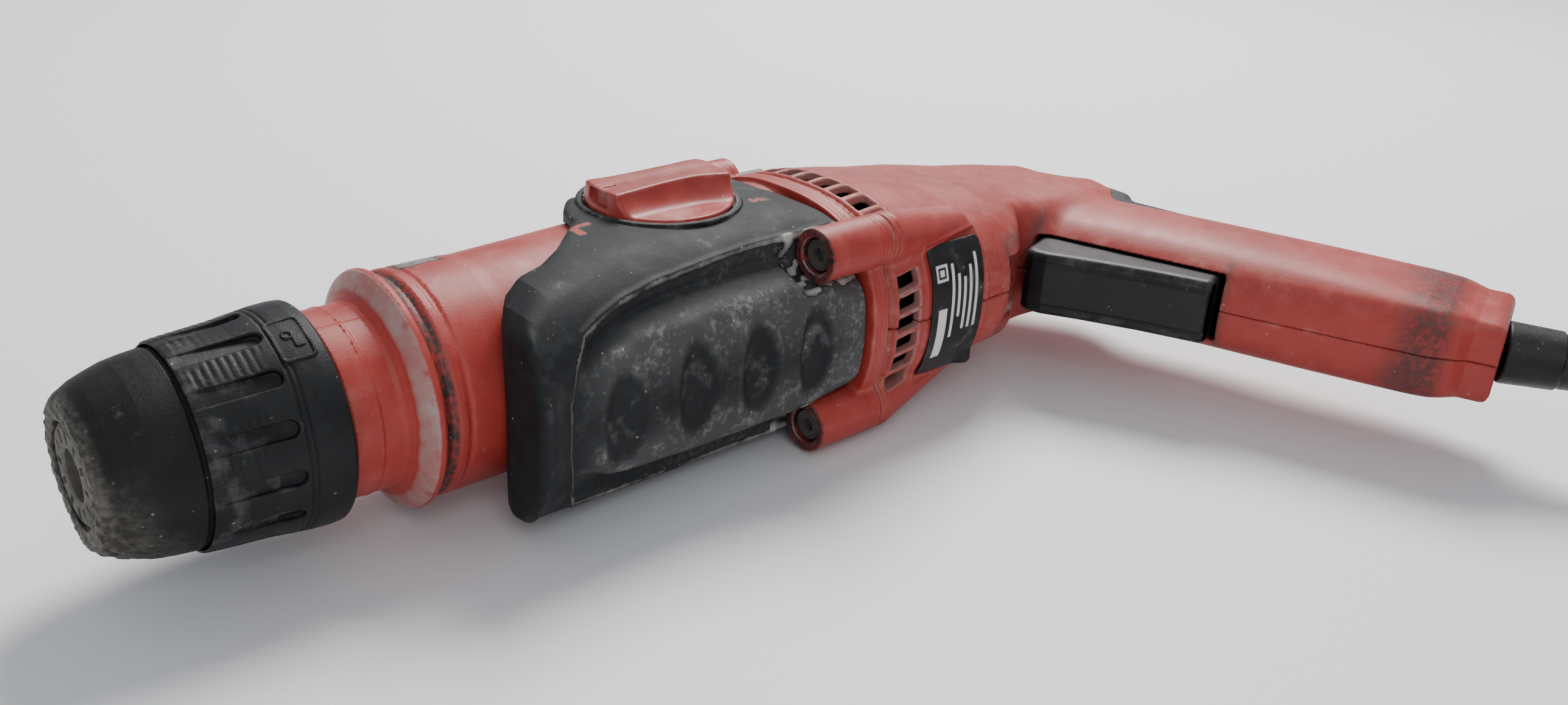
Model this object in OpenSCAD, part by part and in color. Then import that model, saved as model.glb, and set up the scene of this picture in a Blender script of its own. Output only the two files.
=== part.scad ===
// Rotary hammer with a pistol grip, lying on its right side.
// Tool axes: X runs from the chuck nose to the rear, Y runs from the underside up to the spine,
// and Z runs from the right side to the left side. The drill axis is Y = 0, Z = 0.

/* [Overall] */
// Wall thickness of the housing shells
wall = 2.5; // [2:0.1:2.8]
// Half width of the tool, from the drill axis to the side that it lies on
housing_half_w = 35; // [35:0.1:36]

/* [Chuck] */
// Radius of the tool bore, for a 10 mm slotted shank
tool_bore_r = 5.05; // [5.01:0.01:5.1]
// Radius of the ribbed release ring at its widest
ring_r = 27.8; // [27:0.1:28.5]
// Travel of the bit release sleeve
sleeve_travel = 6; // [4:0.5:6]
// Number of grip grooves round the release ring
ring_grooves = 14; // [8:1:16]

/* [Gear housing] */
// Radius of the neck, where a side handle clamps
neck_r = 23.8; // [23:0.1:24.5]
// Radius of the flange rim behind the neck
flange_r = 31; // [30:0.1:32]
// Length from the nose to the seam of the motor housing
seam_x = 204; // [203:0.5:205]

/* [Gears] */
// Distance from the spindle axis to the intermediate shaft
shaft_drop = 28; // [28]
// Teeth of the spindle gear
spindle_teeth = 47; // [47]
// Teeth of the pinion on the intermediate shaft
shaft_pinion_teeth = 9; // [9]
// Teeth of the gear on the intermediate shaft
shaft_gear_teeth = 41; // [41]
// Teeth of the motor pinion
motor_pinion_teeth = 6; // [6]

/* [Handle] */
// Lean of the handle towards the rear, in degrees
rake = 17; // [16:0.5:18]
// Half depth of the handle from its centre line to its back
handle_half_d = 25; // [24:0.5:26]
// Half thickness of the handle
handle_half_w = 18; // [17:0.5:18]
// Travel of the trigger
trigger_travel = 7; // [5:0.5:7]

/* [Selector] */
// Radius of the selector knob's base
knob_r = 20.5; // [19:0.1:20.8]
// Height of the selector knob's grip bar
knob_h = 7.6; // [6:0.2:14]
// Height of the selector's seat above the drill axis
knob_z = 34.4; // [34.4]

/* [Cord] */
// Diameter of the mains cord
cord_d = 8; // [7.5:0.1:8.5]

/* [Hidden] */
$fn = 64;
SKEW = 0.01;
fit = 0.05;

// ---- Where things are along the drill axis ----
barrel_r = 9.6;
ball_x = 27;
shank_end_x = 37.5;
ball_r = 3.4;
collar_x = 31;
spigot_r = 13;
spigot_x = 34;
spindle_x = 36;
nose_hub_r = 18.45;
chuck_ball_x = 46;
chuck_ball_r = 2.75;
ring_rear_x = 53.3;
neck_x = 54.2;
spindle_r = 15;
tube_r = 13.5;
tube_bore_r = 10.05;
anvil_bore_r = 7.55;
tube_end_x = 147;
spindle_gear_x = 116;
spindle_gear_w = 10;
wobble_x = 157;
wobble_tilt = 13;
shaft_gear_x = 172;
shaft_gear_w = 8;
knob_x = 159;
boss_x = 180;
motor_y = -shaft_drop + 0.7 * (shaft_gear_teeth + motor_pinion_teeth) / 2;
housing_y = -8;
housing_half_h = 42;
end_s = 130;

// The handle's own frame: X across it towards the back, Y down it towards the cord
handle_x = 308;
handle_y = -41;
handle_side = [[-26, -22], [handle_half_d - 2, -16], [handle_half_d - 1, 10],
  [handle_half_d, 50], [24.4, 100], [23, 112], [19.6, 119], [17.6, 122], [17.4, end_s],
  [-17, end_s], [-17.4, 122], [-19.4, 119], [-22, 112], [-24.6, 60], [-26, 20]];
handle_plan = [[-handle_half_w, -30], [handle_half_w, -30], [18.4, 40], [17.4, 80],
  [15.8, 108], [14.8, 114], [13.2, 119], [12.6, 122], [12.6, end_s], [-12.6, end_s],
  [-12.6, 122], [-13.2, 119], [-14.8, 114], [-15.8, 108], [-17.4, 80], [-18.4, 40]];

// ---- Frame: the middle of the tool's box is the origin, on the surface it lies on ----
axis_height = housing_half_w;
rear_reach = max([for (p = handle_side) handle_x + p[0] * cos(rake) + p[1] * sin(rake)]);
under_reach = min([for (p = handle_side) handle_y + p[0] * sin(rake) - p[1] * cos(rake)]);
top_reach = housing_y + housing_half_h;
middle_x = rear_reach / 2;
middle_y = (under_reach + top_reach) / 2;

module place() translate([-middle_x, -middle_y, axis_height]) children();

module in_handle() translate([handle_x, handle_y, 0]) rotate([0, 0, rake]) mirror([0, 1, 0])
  children();

// ---- Shapes used by several parts ----
module turned(points) rotate([0, 90, 0]) rotate_extrude($fn = 96)
  polygon([for (p = points) [p[1], p[0]]]);

module rod(x0, x1, r, y = 0, z = 0) translate([x0, y, z]) rotate([0, 90, 0])
  cylinder(h = x1 - x0, r = r);

module tube(x0, x1, outer, inner, y = 0, z = 0) difference() {
  rod(x0, x1, outer, y, z);
  rod(x0 - 1, x1 + 1, inner, y, z);
}

module along_x(x0, x1) translate([x0, 0, 0]) rotate([0, 90, 0])
  linear_extrude(height = x1 - x0) children();

module slab(x0, x1) translate([x0, -200, -100]) cube([x1 - x0, 300, 200]);

function superellipse(cy, half_h, half_w, power, count = 48) = [for (i = [0:count - 1])
  let (a = 360 * i / count, c = cos(a), s = sin(a))
  [half_w * sign(c) * pow(abs(c), 2 / power), cy + half_h * sign(s) * pow(abs(s), 2 / power)]];

// Section of the motor housing, t inside its outer face
function housing_section(t) = superellipse(housing_y, housing_half_h - t,
  housing_half_w - 1 - t, 2.5);

function gear_outline(teeth, module_mm, spread) = [for (i = [0:teeth - 1])
  let (pitch = module_mm * teeth / 2, step = 360 / teeth, half = step * spread / 4)
  for (q = [[-1.45, -1.12], [-1, 0], [-0.5, 0.85], [0.5, 0.85], [1, 0], [1.45, -1.12]])
    let (a = i * step + q[0] * half, r = pitch + q[1] * module_mm) [r * cos(a), r * sin(a)]];

function left_normal(a, b) = let (d = b - a) [-d[1], d[0]] / norm(d);

function inset(p, t) = [for (i = [0:len(p) - 1])
  let (a = p[(i + len(p) - 1) % len(p)], b = p[i], c = p[(i + 1) % len(p)],
    n = left_normal(a, b), m = left_normal(b, c)) b + t * (n + m) / (1 + n * m)];

function sweep_rings(path, radius, sides) = [for (i = [0:len(path) - 1])
  let (before = path[max(i - 1, 0)], after = path[min(i + 1, len(path) - 1)],
    t = (after - before) / norm(after - before),
    up = abs(t[2]) > 0.9 ? [1, 0, 0] : [0, 0, 1],
    side = cross(t, up) / norm(cross(t, up)), over = cross(side, t))
  for (k = [0:sides - 1]) path[i] + radius * (cos(360 * k / sides) * side
    + sin(360 * k / sides) * over)];

module swept(path, radius, sides) {
  rings = len(path);
  walls = [for (i = [0:rings - 2]) for (k = [0:sides - 1])
    let (a = i * sides + k, b = i * sides + (k + 1) % sides)
    for (face = [[a, b, b + sides], [a, b + sides, a + sides]]) face];
  polyhedron(points = sweep_rings(path, radius, sides),
    faces = concat([[for (k = [0:sides - 1]) sides - 1 - k]], walls,
      [[for (k = [0:sides - 1]) (rings - 1) * sides + k]]));
}

function helix(x0, x1, radius, turns, y = 0, z = 0) = [for (i = [0:turns * 12])
  [x0 + (x1 - x0) * i / (turns * 12), y + radius * cos(30 * i), z + radius * sin(30 * i)]];

// ---- Chuck ----
module dust_cap() color([0.22, 0.21, 0.2]) place() difference() {
  turned([[0.4, 6.2], [0.4, 11.2], [1.2, 12.1], [8, 12.1], [8, 8.8], [3, 8.8], [3, 6.2]]);
  for (a = [0:30:330]) rotate([a, 0, 0]) translate([0, 7.4, -0.9]) cube([1.2, 3, 1.8]);
}

module bit_sleeve() color([0.13, 0.13, 0.13]) place() turned([[0, 12.5], [0, 15.4], [1.4, 17.6],
  [6, 20.7], [12, 22.8], [18, 23.6], [20.7, 23.9], [20.9, 23.6], [26, 23.6], [26, 21.6],
  [18, 21.6], [13, 19], [13, barrel_r + fit], [9, barrel_r + fit], [9, 12.5]]);

module sleeve_spring() color([0.7, 0.7, 0.72]) place()
  swept(helix(14, 29.9, 15.2, 4), 0.8, 8);

module lock_balls() color([0.75, 0.75, 0.77]) place()
  for (side = [-1, 1]) translate([ball_x, 0, side * 8.65]) sphere(r = ball_r);

module chuck_barrel() color([0.55, 0.55, 0.57]) place() {
  difference() {
    turned([[3, 0], [3, 8.8], [8, 8.8], [8, barrel_r], [collar_x, barrel_r],
      [collar_x, 17.2], [spigot_x, 17.2], [spigot_x, spigot_r], [chuck_ball_x - 2, spigot_r],
      [chuck_ball_x - 2, 12], [chuck_ball_x + 2, 12], [chuck_ball_x + 2, spigot_r],
      [62, spigot_r], [62, 0]]);
    rod(0, shank_end_x + 0.5, tool_bore_r);
    rod(shank_end_x, 70, tool_bore_r + 0.6);
    for (side = [0, 1]) rotate([180 * side, 0, 0]) translate([ball_x, 0, 4])
      cylinder(h = 10, r = ball_r + fit);
  }
  for (side = [0, 1]) rotate([180 * side, 0, 0]) translate([38, 3.9, -1.2])
    cube([11, 1.6, 2.4]);
}

module release_ring() color([0.1, 0.1, 0.1]) place() difference() {
  turned([[21.3, 24.3], [21.3, 24.9], [22.2, 25.5], [36, 26.4], [46, ring_r - 0.2],
    [50, ring_r], [52.4, ring_r], [ring_rear_x, ring_r - 0.8],
    [ring_rear_x, nose_hub_r + fit], [35, nose_hub_r + fit], [35, 24.3]]);
  for (i = [1:ring_grooves]) rotate([360 * i / ring_grooves + 17, 0, 0])
    rod(23, 42, 2.2, 27.9);
}

module chuck_lock_balls() color([0.75, 0.75, 0.77]) place() for (a = [0, 120, 240])
  rotate([a, 0, 0]) translate([chuck_ball_x, 14.85, 0]) sphere(r = chuck_ball_r);

module spindle() color([0.5, 0.5, 0.52]) place() difference() {
  turned([[spindle_x, spigot_r + fit], [spindle_x, nose_hub_r], [53, nose_hub_r],
    [53, spindle_r], [100, spindle_r], [100, tube_r], [tube_end_x, tube_r],
    [tube_end_x, tube_bore_r], [88, tube_bore_r], [88, anvil_bore_r], [62.3, anvil_bore_r],
    [62.3, spigot_r + fit]]);
  for (a = [0, 120, 240]) rotate([a, 0, 0]) translate([chuck_ball_x, 5, 0])
    rotate([-90, 0, 0]) cylinder(h = 20, r = chuck_ball_r + fit);
}

// ---- Rotary drive ----
module clutch_spring() color([0.6, 0.6, 0.62]) place()
  swept(helix(101.4, 109.4, 17, 3), 1.1, 8);

module clutch_disc() color([0.55, 0.55, 0.55]) place() difference() {
  tube(111, 115.6, 20, tube_r);
  for (a = [0:60:300]) rotate([a, 0, 0]) rod(110, 116, 1.6, 17);
}

module spindle_gear() color([0.45, 0.45, 0.47]) place() difference() {
  along_x(spindle_gear_x, spindle_gear_x + spindle_gear_w)
    rotate(-90) polygon(gear_outline(spindle_teeth, 1, 0.8));
  rod(110, 130, tube_r);
}

module front_seal() color([0.12, 0.12, 0.12]) place() tube(55.5, 62, 21.5, spindle_r + fit);

module spindle_bearing() color([0.7, 0.7, 0.72]) place() difference() {
  tube(66, 76, 21.5, spindle_r + fit);
  for (x = [65, 75.2]) tube(x, x + 1.8, 20, 16.6);
}

module guide_bush() color([0.72, 0.55, 0.3]) place() tube(136, 146, 17, tube_r + fit);

module middle_plate() color([0.7, 0.7, 0.72]) place() difference() {
  rod(138, 143, 29.3);
  rod(130, 150, 17);
  rod(130, 150, 7, -shaft_drop);
  translate([130, -40, -7]) cube([20, 12, 14]);
}

// ---- Hammer drive ----
module anvil() color([0.6, 0.6, 0.62]) place() turned([[55, 0], [55, 4], [55.7, 4.7], [66.8, 4.7],
  [67.5, 7.5], [74, 7.5], [74, 5.7], [75.8, 5.7], [75.8, 7.5], [84, 7.5], [85, 5], [92, 5], [92, 0]]);

module anvil_seal() color([0.1, 0.1, 0.1]) place() rotate([0, 90, 0])
  translate([0, 0, 74.9]) rotate_extrude() translate([6.6, 0]) circle(r = 0.88, $fn = 24);

module striker() color([0.6, 0.6, 0.62]) place() turned([[100, 0], [100, 4.4], [100.6, 5], [107, 5],
  [108, 8], [124, 8], [124, 6.2], [125.8, 6.2], [125.8, 8], [130, 8], [130, 0]]);

module striker_seal() color([0.1, 0.1, 0.1]) place() rotate([0, 90, 0])
  translate([0, 0, 124.9]) rotate_extrude() translate([7.1, 0]) circle(r = 0.88, $fn = 24);

module piston() color([0.65, 0.65, 0.67]) place() difference() {
  rod(98, 166, 10);
  rod(97, 142, 8.05);
  translate([148, -12, -5.2]) cube([20, 24, 10.4]);
  for (z = [-13.2, 9.2]) translate([148, -12, z]) cube([20, 24, 4]);
  translate([wobble_x, 0, -12]) cylinder(h = 24, r = 6.4 + fit);
}

module piston_pin() color([0.6, 0.6, 0.62]) place() difference() {
  translate([wobble_x, 0, -7.5]) cylinder(h = 15, r = 6.4);
  for (x = [-1.5, 1.5]) translate([wobble_x + x, 8, 0]) rotate([90, 0, 0])
    cylinder(h = 16, r = 3.35);
  translate([wobble_x - 1.5, -8, -3.35]) cube([3, 16, 6.7]);
}

module wobble_ring() color([0.58, 0.58, 0.6]) place()
  translate([wobble_x, -shaft_drop, 0]) rotate([0, wobble_tilt, 0]) {
    tube(-4, 4, 13, 9.4);
    difference() {
      rotate([-90, 0, 0]) cylinder(h = shaft_drop + 2.5, r = 3);
      rod(-8, 8, 12.5);
    }
  }

module wobble_drum() color([0.55, 0.55, 0.57]) place()
  translate([wobble_x, -shaft_drop, 0])
    turned(concat([for (a = [-42:6:42]) [9 * sin(a), 9 * cos(a)]], [[6, 5], [-6, 5]]));

module intermediate_shaft() color([0.55, 0.55, 0.57]) place() translate([0, -shaft_drop, 0]) {
  rod(98, 113, 3.3);
  along_x(113, 129) rotate(90 + 180 / shaft_pinion_teeth)
    polygon(gear_outline(shaft_pinion_teeth, 1, 0.8));
  rod(129, 134, 3.3);
  rod(134, 188, 5);
}

module intermediate_gear() color([0.45, 0.45, 0.47]) place() translate([0, -shaft_drop, 0])
  difference() {
    along_x(shaft_gear_x, shaft_gear_x + shaft_gear_w)
      rotate(90) polygon(gear_outline(shaft_gear_teeth, 0.7, 0.8));
    rod(160, 190, 5);
  }

module shaft_bearings() color([0.7, 0.7, 0.72]) place() {
  tube(98, 104, 8, 3.3 + fit, -shaft_drop);
  tube(183, 188, 8, 5 + fit, -shaft_drop);
}

// ---- Gear housing and cover ----
module lobe(x0, x1, r) rod(x0, x1, r, -shaft_drop);

// Height and half spacing of the two pairs of corner screws
boss_places = [[-42, -26], [-42, 26], [24, -25.5], [24, 25.5]];

module corner_bosses(x0, x1, r) for (p = boss_places) rod(x0, x1, r, p[0], p[1]);

module gear_housing() color([0.62, 0.16, 0.13]) place() difference() {
  union() {
    turned([[neck_x, 0], [neck_x, neck_r - 0.8], [55, neck_r], [66, neck_r], [68.5, 25.6],
      [70.5, 29], [72, flange_r], [73.6, flange_r], [74.8, 29.4], [76.5, 28.8], [78, 29.7],
      [95, 29.7], [99, 29.4], [139, 31], [seam_x, 32], [seam_x, 0]]);
    lobe(96, seam_x, 17.2);
    corner_bosses(boss_x, seam_x, 7.6);
    along_x(seam_x - 6, seam_x) polygon(housing_section(0.4));
    rod(98, knob_x + 14, 16, 0, 0);
    translate([knob_x, 0, 20]) cylinder(h = knob_z - 20 - 1, r = 17);
  }
  rod(50, 70, 15.6);
  rod(55.5, 62, 21.5);
  rod(66, 76, 21.5);
  rod(62, 66, 18);
  rod(76, 106, 24.5);
  rod(104, 136, 27.5);
  rod(136, 210, 29.5);
  lobe(98, 104.2, 8);
  lobe(104, 210, 15.6);
  translate([knob_x, 0, 10]) cylinder(h = 40, r = 14 + fit);
  corner_bosses(boss_x - 1, boss_x + 5, 5.2);
  corner_bosses(boss_x - 1, 210, 2.3);
}

module gear_plate() color([0.7, 0.7, 0.72]) place() difference() {
  union() {
    rod(183, 198, 29.2);
    lobe(183, 198, 15.3);
  }
  rod(182, 188, 8, -shaft_drop);
  rod(190, 199, 11, motor_y);
  rod(180, 200, 5, motor_y);
  translate([182, 4, -14]) cube([7, 22, 28]);
}

module cover_side() translate([0, 0, -60]) linear_extrude(height = 120)
  polygon([[93, -60], [95, -38], [100, -28], [112, -16], [122, -2], [128, 14], [140, 24],
    [seam_x - 14, 27], [seam_x - 9, 10], [seam_x - 7.5, -12], [seam_x - 7.5, -60]]);

module grip_cover() color([0.13, 0.14, 0.15]) place() difference() {
  intersection() {
    along_x(93, seam_x - 6.3) polygon(superellipse(-4, 44, housing_half_w + 1, 2.8));
    cover_side();
    translate([90, -60, -housing_half_w]) cube([120, 120, housing_half_w + knob_z]);
    translate([0, 60, 0]) rotate([90, 0, 0]) linear_extrude(height = 120)
      polygon([[93, -30], [100, -33], [115, -34.3], [135, -36], [200, -36], [200, 31.5],
        [190, 33], [181, 35], [135, 35], [115, 33], [100, 32], [93, 30]]);
  }
  turned([[80, 0], [80, 30.6], [99, 30.6], [139, 31.2], [seam_x, 32.2], [seam_x, 0]]);
  lobe(90, 210, 17.4);
  translate([knob_x, 0, 20]) cylinder(h = 40, r = knob_r + 0.6);
  translate([knob_x, 0, 20]) cylinder(h = 13.2, r = 17.2);
  corner_bosses(boss_x - 6, 210, 8.4);
}

module selector_knob() color([0.62, 0.17, 0.14]) place() translate([knob_x, 0, 0]) {
  translate([0, 0, knob_z - 0.6]) cylinder(h = 3, r = knob_r);
  difference() {
    translate([0, 0, 30.5]) cylinder(h = knob_z - 30.5, r = 14);
    translate([0, 0, 32]) rotate_extrude() translate([12.9, 0]) circle(r = 1.15, $fn = 24);
  }
  rotate([0, 0, -4]) translate([0, 0, knob_z]) linear_extrude(height = knob_h)
    polygon([[-20.5, -6.5], [-19, -8], [16, -9.5], [20, -5], [21, 0], [20, 5], [16, 9.5],
      [-19, 8], [-20.5, 6.5]]);
}

module selector_pin() color([0.6, 0.6, 0.62]) place()
  translate([knob_x + 7, 0, 26.4]) cylinder(h = 4.1, r = 2.5);

module selector_seal() color([0.1, 0.1, 0.1]) place() translate([knob_x, 0, 32])
  rotate_extrude() translate([12.9, 0]) circle(r = 1.1, $fn = 24);

module boss_screws() color([0.3, 0.3, 0.3]) place() for (p = boss_places) difference() {
    union() {
      rod(boss_x + 1.5, boss_x + 5, 4.4, p[0], p[1]);
      rod(boss_x + 5, seam_x + 14, 2.1, p[0], p[1]);
    }
    rod(boss_x + 1, boss_x + 3.5, 2.2, p[0], p[1], $fn = 6);
  }

// ---- Motor ----
module armature_shaft() color([0.55, 0.55, 0.57]) place() translate([0, motor_y, 0]) {
  along_x(170.5, 182) rotate(90) rotate(180 / motor_pinion_teeth)
    polygon(gear_outline(motor_pinion_teeth, 0.7, 0.8));
  rod(182, 291, 4);
}

module armature_core() color([0.35, 0.35, 0.37]) place() translate([0, motor_y, 0])
  difference() {
    rod(221, 256, 19);
    rod(220, 260, 4);
    for (i = [1:12]) rotate([30 * i, 0, 0]) translate([220, 15.5, -0.8]) cube([40, 5, 1.6]);
  }

module armature_windings() color([0.6, 0.33, 0.15]) place() translate([0, motor_y, 0]) {
  tube(215.5, 221, 16.5, 4);
  tube(256, 262, 16.5, 4);
}

module commutator() color([0.7, 0.42, 0.22]) place() translate([0, motor_y, 0]) difference() {
  tube(264, 278, 11, 4);
  for (i = [1:24]) rotate([15 * i, 0, 0]) translate([263, 10, -0.25]) cube([16, 2, 0.5]);
}

module fan() color([0.2, 0.2, 0.2]) place() translate([0, motor_y, 0]) {
  tube(205, 206.5, 28.5, 4);
  tube(206.5, 214, 7, 4);
  for (i = [1:14]) rotate([360 * i / 14, 0, 0]) translate([206.5, 11, -0.7])
    cube([7, 17, 1.4]);
}

module motor_bearings() color([0.7, 0.7, 0.72]) place() {
  tube(190, 197, 11, 4 + fit, motor_y);
  tube(283, 290, 9.5, 4 + fit, motor_y);
}

module field_core() color([0.35, 0.35, 0.37]) place() difference() {
  intersection() {
    rod(222, 255, 27, motor_y);
    translate([220, motor_y - 26, -24.3]) cube([40, 52, 48.6]);
  }
  rod(220, 260, 19.8, motor_y);
}

module field_coils() color([0.6, 0.33, 0.15]) place() for (x = [216.5, 255]) difference() {
  tube(x, x + 5.5, 24, 20.4, motor_y);
  translate([x - 1, motor_y - 30, -7]) cube([8, 60, 14]);
}

module rear_bracket() color([0.16, 0.16, 0.16]) place() difference() {
  rod(281, 291, 19.5, motor_y);
  rod(283, 292, 9.5, motor_y);
  rod(280, 292, 5, motor_y);
  for (a = [45:90:315]) translate([280, motor_y, 0]) rotate([a, 0, 0]) rod(0, 12, 3, 14.5);
}

module brush_holders() color([0.72, 0.55, 0.3]) place() for (side = [0, 1])
  translate([0, motor_y, 0]) rotate([180 * side, 0, 0]) difference() {
    translate([265.5, -5, 12.2]) cube([11, 10, 9.4]);
    translate([267, -3.5, 11]) cube([8, 7, 13]);
  }

module brushes() color([0.2, 0.2, 0.2]) place() for (side = [0, 1])
  translate([0, motor_y, 0]) rotate([180 * side, 0, 0]) translate([267.1, -3.4, 11.3])
    cube([7.8, 6.8, 5.4]);

module brush_springs() color([0.7, 0.7, 0.72]) place() for (side = [-1, 1])
  translate([271, motor_y, 0]) rotate([0, -side * 90, 0])
    swept(helix(17.3, 21.2, 2.2, 3), 0.4, 8);

// ---- Rear housing ----
body_side = [[seam_x, -60], [258, -60], [266, -47.5], [275, -37], [333, -37], [334, -26],
  [329, -8], [318, 6], [300, 18], [272, 28.5], [240, 40], [seam_x, 40]];
body_widths = [[seam_x, 33.5], [214, 33.6], [230, 31.5], [246, 28.8], [262, 27.1], [282, 23.8],
  [300, 22], [316, 20.9], [333, 18.6]];
body_plan = concat([for (p = body_widths) [p[0], -p[1]]],
  [for (i = [1:len(body_widths)]) body_widths[len(body_widths) - i]]);

// Screws that hold the two shells together: X, Y and the height of the head's outer face
screw_places = [[268, -38, -15.5], [297, 4, -18.5], [333, -122, -14.5], [262, 22, -16.5]];

module body_block(t) intersection() {
  along_x(seam_x - (t > 0 ? 1 : 0), 340)
    polygon(housing_section(t));
  translate([t > 0 ? -t - 1 : 0, 0, -60]) linear_extrude(height = 120)
    polygon(inset(body_side, t));
  translate([t > 0 ? -t - 1 : 0, 60, 0]) rotate([90, 0, 0]) linear_extrude(height = 120)
    polygon(inset(body_plan, t));
}

module handle_block(t) in_handle() intersection() {
  translate([0, end_s, 0]) rotate([90, 0, 0]) linear_extrude(height = end_s + 30)
    polygon(superellipse(0, handle_half_w + 0.6 - t, handle_half_d + 1.5 - t, 2.1));
  translate([0, 0, -40]) linear_extrude(height = 80) polygon(inset(handle_side, t));
  translate([40, 0, 0]) rotate([0, -90, 0]) linear_extrude(height = 80)
    polygon(inset(handle_plan, t));
}

module rear_solid(t) {
  body_block(t);
  handle_block(t);
}

module vents() {
  for (i = [-2.5:2.5]) translate([seam_x + 5, -60, i * 6.4 - 1.8]) cube([7, 22, 3.6]);
  for (i = [0:6]) for (z = [-45, 24]) translate([seam_x + 5, -33.5 + i * 7.5, z])
    cube([7, 3.8, 21]);
}

module trigger_pocket() in_handle() translate([-50, -9, -11]) cube([34, 61, 22]);

module inner_ribs() intersection() {
  rear_solid(1);
  difference() {
    union() {
      slab(229, 231);
      slab(246, 248);
      slab(284, 286);
    }
    rod(200, 270, 29.3, motor_y);
    rod(270, 300, 20.2, motor_y);
    translate([270, -70, -30]) cube([30, 36, 60]);
  }
}

module rear_shell() difference() {
  union() {
    difference() {
      rear_solid(0);
      rear_solid(wall);
    }
    inner_ribs();
    intersection() {
      rear_solid(0);
      union() {
        corner_bosses(seam_x, seam_x + 18, 7.2);
        for (p = screw_places) translate([p[0], p[1], -50]) cylinder(h = 100, r = 3.8);
      }
    }
  }
  for (p = screw_places) translate([p[0], p[1], p[2] - 50]) {
    cylinder(h = 52, r = 3.2);
    cylinder(h = 60 - p[2], r = 1.7);
  }
  vents();
  trigger_pocket();
  corner_bosses(seam_x - 1, seam_x + 15, 2.3);
  in_handle() translate([0, end_s + 2, 0]) rotate([90, 0, 0]) cylinder(h = 20, r = 10.1);
  spine_band(1.4, 2, 7.15);
}

function handle_point(a, s) = [handle_x + a * cos(rake) + s * sin(rake),
  handle_y + a * sin(rake) - s * cos(rake)];

// Line down the spine of the housing and the back of the handle
spine = [[300, 18], [318, 6], [329, -8], [334, -26], [333.4, -35], handle_point(24, 10),
  handle_point(handle_half_d, 50), handle_point(24.7, 80)];

function beside(p, t) = [for (i = [0:len(p) - 1])
  let (n = left_normal(p[max(i - 1, 0)], p[max(i, 1)]),
    m = left_normal(p[min(i, len(p) - 2)], p[min(i + 1, len(p) - 1)]))
  p[i] + t * (n + m) / (1 + n * m)];

function reversed(p) = [for (i = [1:len(p)]) p[len(p) - i]];

module spine_band(inner, outer, half_w) translate([0, 0, -half_w])
  linear_extrude(height = 2 * half_w)
    polygon(concat(beside(spine, outer), reversed(beside(spine, -inner))));

module housing_left() color([0.62, 0.17, 0.14]) place() difference() {
  rear_shell();
  translate([150, -220, -80]) cube([260, 300, 80 + SKEW]);
}

module housing_right() color([0.62, 0.17, 0.14]) place() difference() {
  rear_shell();
  translate([150, -220, -SKEW]) cube([260, 300, 80]);
}

module back_strip() color([0.1, 0.1, 0.1]) place() spine_band(1.25, 1.6, 7);

module rating_label() color([0.08, 0.08, 0.08]) place() intersection() {
  along_x(221.5, 244.5) difference() {
    polygon(housing_section(-0.35));
    polygon(housing_section(-0.05));
  }
  translate([220, -60, -21]) cube([30, 25, 42]);
}

// ---- Handle contents ----
module trigger() color([0.09, 0.09, 0.1]) place() in_handle() {
  translate([0, 0, -10.4]) linear_extrude(height = 20.8)
    polygon([[-37, -7.8], [-20, -7.8], [-18, -6], [-18, 50.6], [-27.6, 50.6], [-29.4, 49],
      [-38.6, -5]]);
  translate([-18.5, 22, 0]) rotate([0, 90, 0]) cylinder(h = 16, r = 3);
}

module trigger_spring() color([0.7, 0.7, 0.72]) place() in_handle()
  translate([0, 38, 0]) swept(helix(-17.4, -6.2, 3.4, 4), 0.45, 8);

module switch_body() color([0.15, 0.15, 0.16]) place() in_handle() difference() {
  translate([-5.5, 6, -11]) cube([20, 42, 22]);
  translate([-6, 22, 0]) rotate([0, 90, 0]) cylinder(h = 14, r = 3.4);
}

module suppressor() color([0.75, 0.62, 0.2]) place() in_handle() translate([2, 56, 0])
  rotate([-90, 0, 0]) cylinder(h = 20, r = 8);

module cord_clamp() color([0.16, 0.16, 0.16]) place() in_handle() difference() {
  translate([-13, 96, -9]) cube([26, 9, 18]);
  translate([0, 90, 0]) rotate([-90, 0, 0]) cylinder(h = 20, r = cord_d / 2 + 0.1);
}

module handle_screws() color([0.5, 0.5, 0.52]) place() for (p = screw_places)
  translate([p[0], p[1], p[2]]) {
    cylinder(h = 2, r = 3);
    translate([0, 0, 2]) cylinder(h = -p[2] - 4, r = 1.6);
  }

// ---- Cord ----
cord_lean = 28;
relief_length = 56;
relief_root = [343.6, -165.6, 0];

module along_cord() translate(relief_root) rotate([0, 0, cord_lean - 90]) rotate([0, 90, 0])
  children();

module strain_relief() color([0.08, 0.08, 0.08]) place() along_cord()
  cylinder(h = relief_length, r1 = 9.4, r2 = 6.8);

// Points along the cord from the strain relief to the coil, in tool axes
coil_x = 330;
coil_y = -292;
coil_mean_r = 46;
coil_half_w = 15;
coil_h = 30;
floor_z = cord_d / 2 - axis_height;
route = [[369.9, -215, 0], [373.7, -222.2, -0.5], [378, -231, -2.2], [382.3, -240.5, -5.4],
  [386, -250, -9.8], [388.8, -259.5, -14.6], [390.6, -269, -19.3], [391.4, -278.5, -23.5],
  [391.3, -288, -26.8], [390.4, -297.5, -29.2], [388.6, -307, -30.6], [385.6, -316.5, floor_z],
  [381.4, -325.5, floor_z], [375.6, -334, floor_z], [368, -341.4, floor_z],
  [359, -347.4, floor_z], [349.5, -351.6, floor_z], [340, -353.6, floor_z]];

module cord_run() color([0.07, 0.07, 0.07]) place() {
  swept(route, cord_d / 2, 12);
  swept(tail, cord_d / 2, 12);
}

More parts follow.
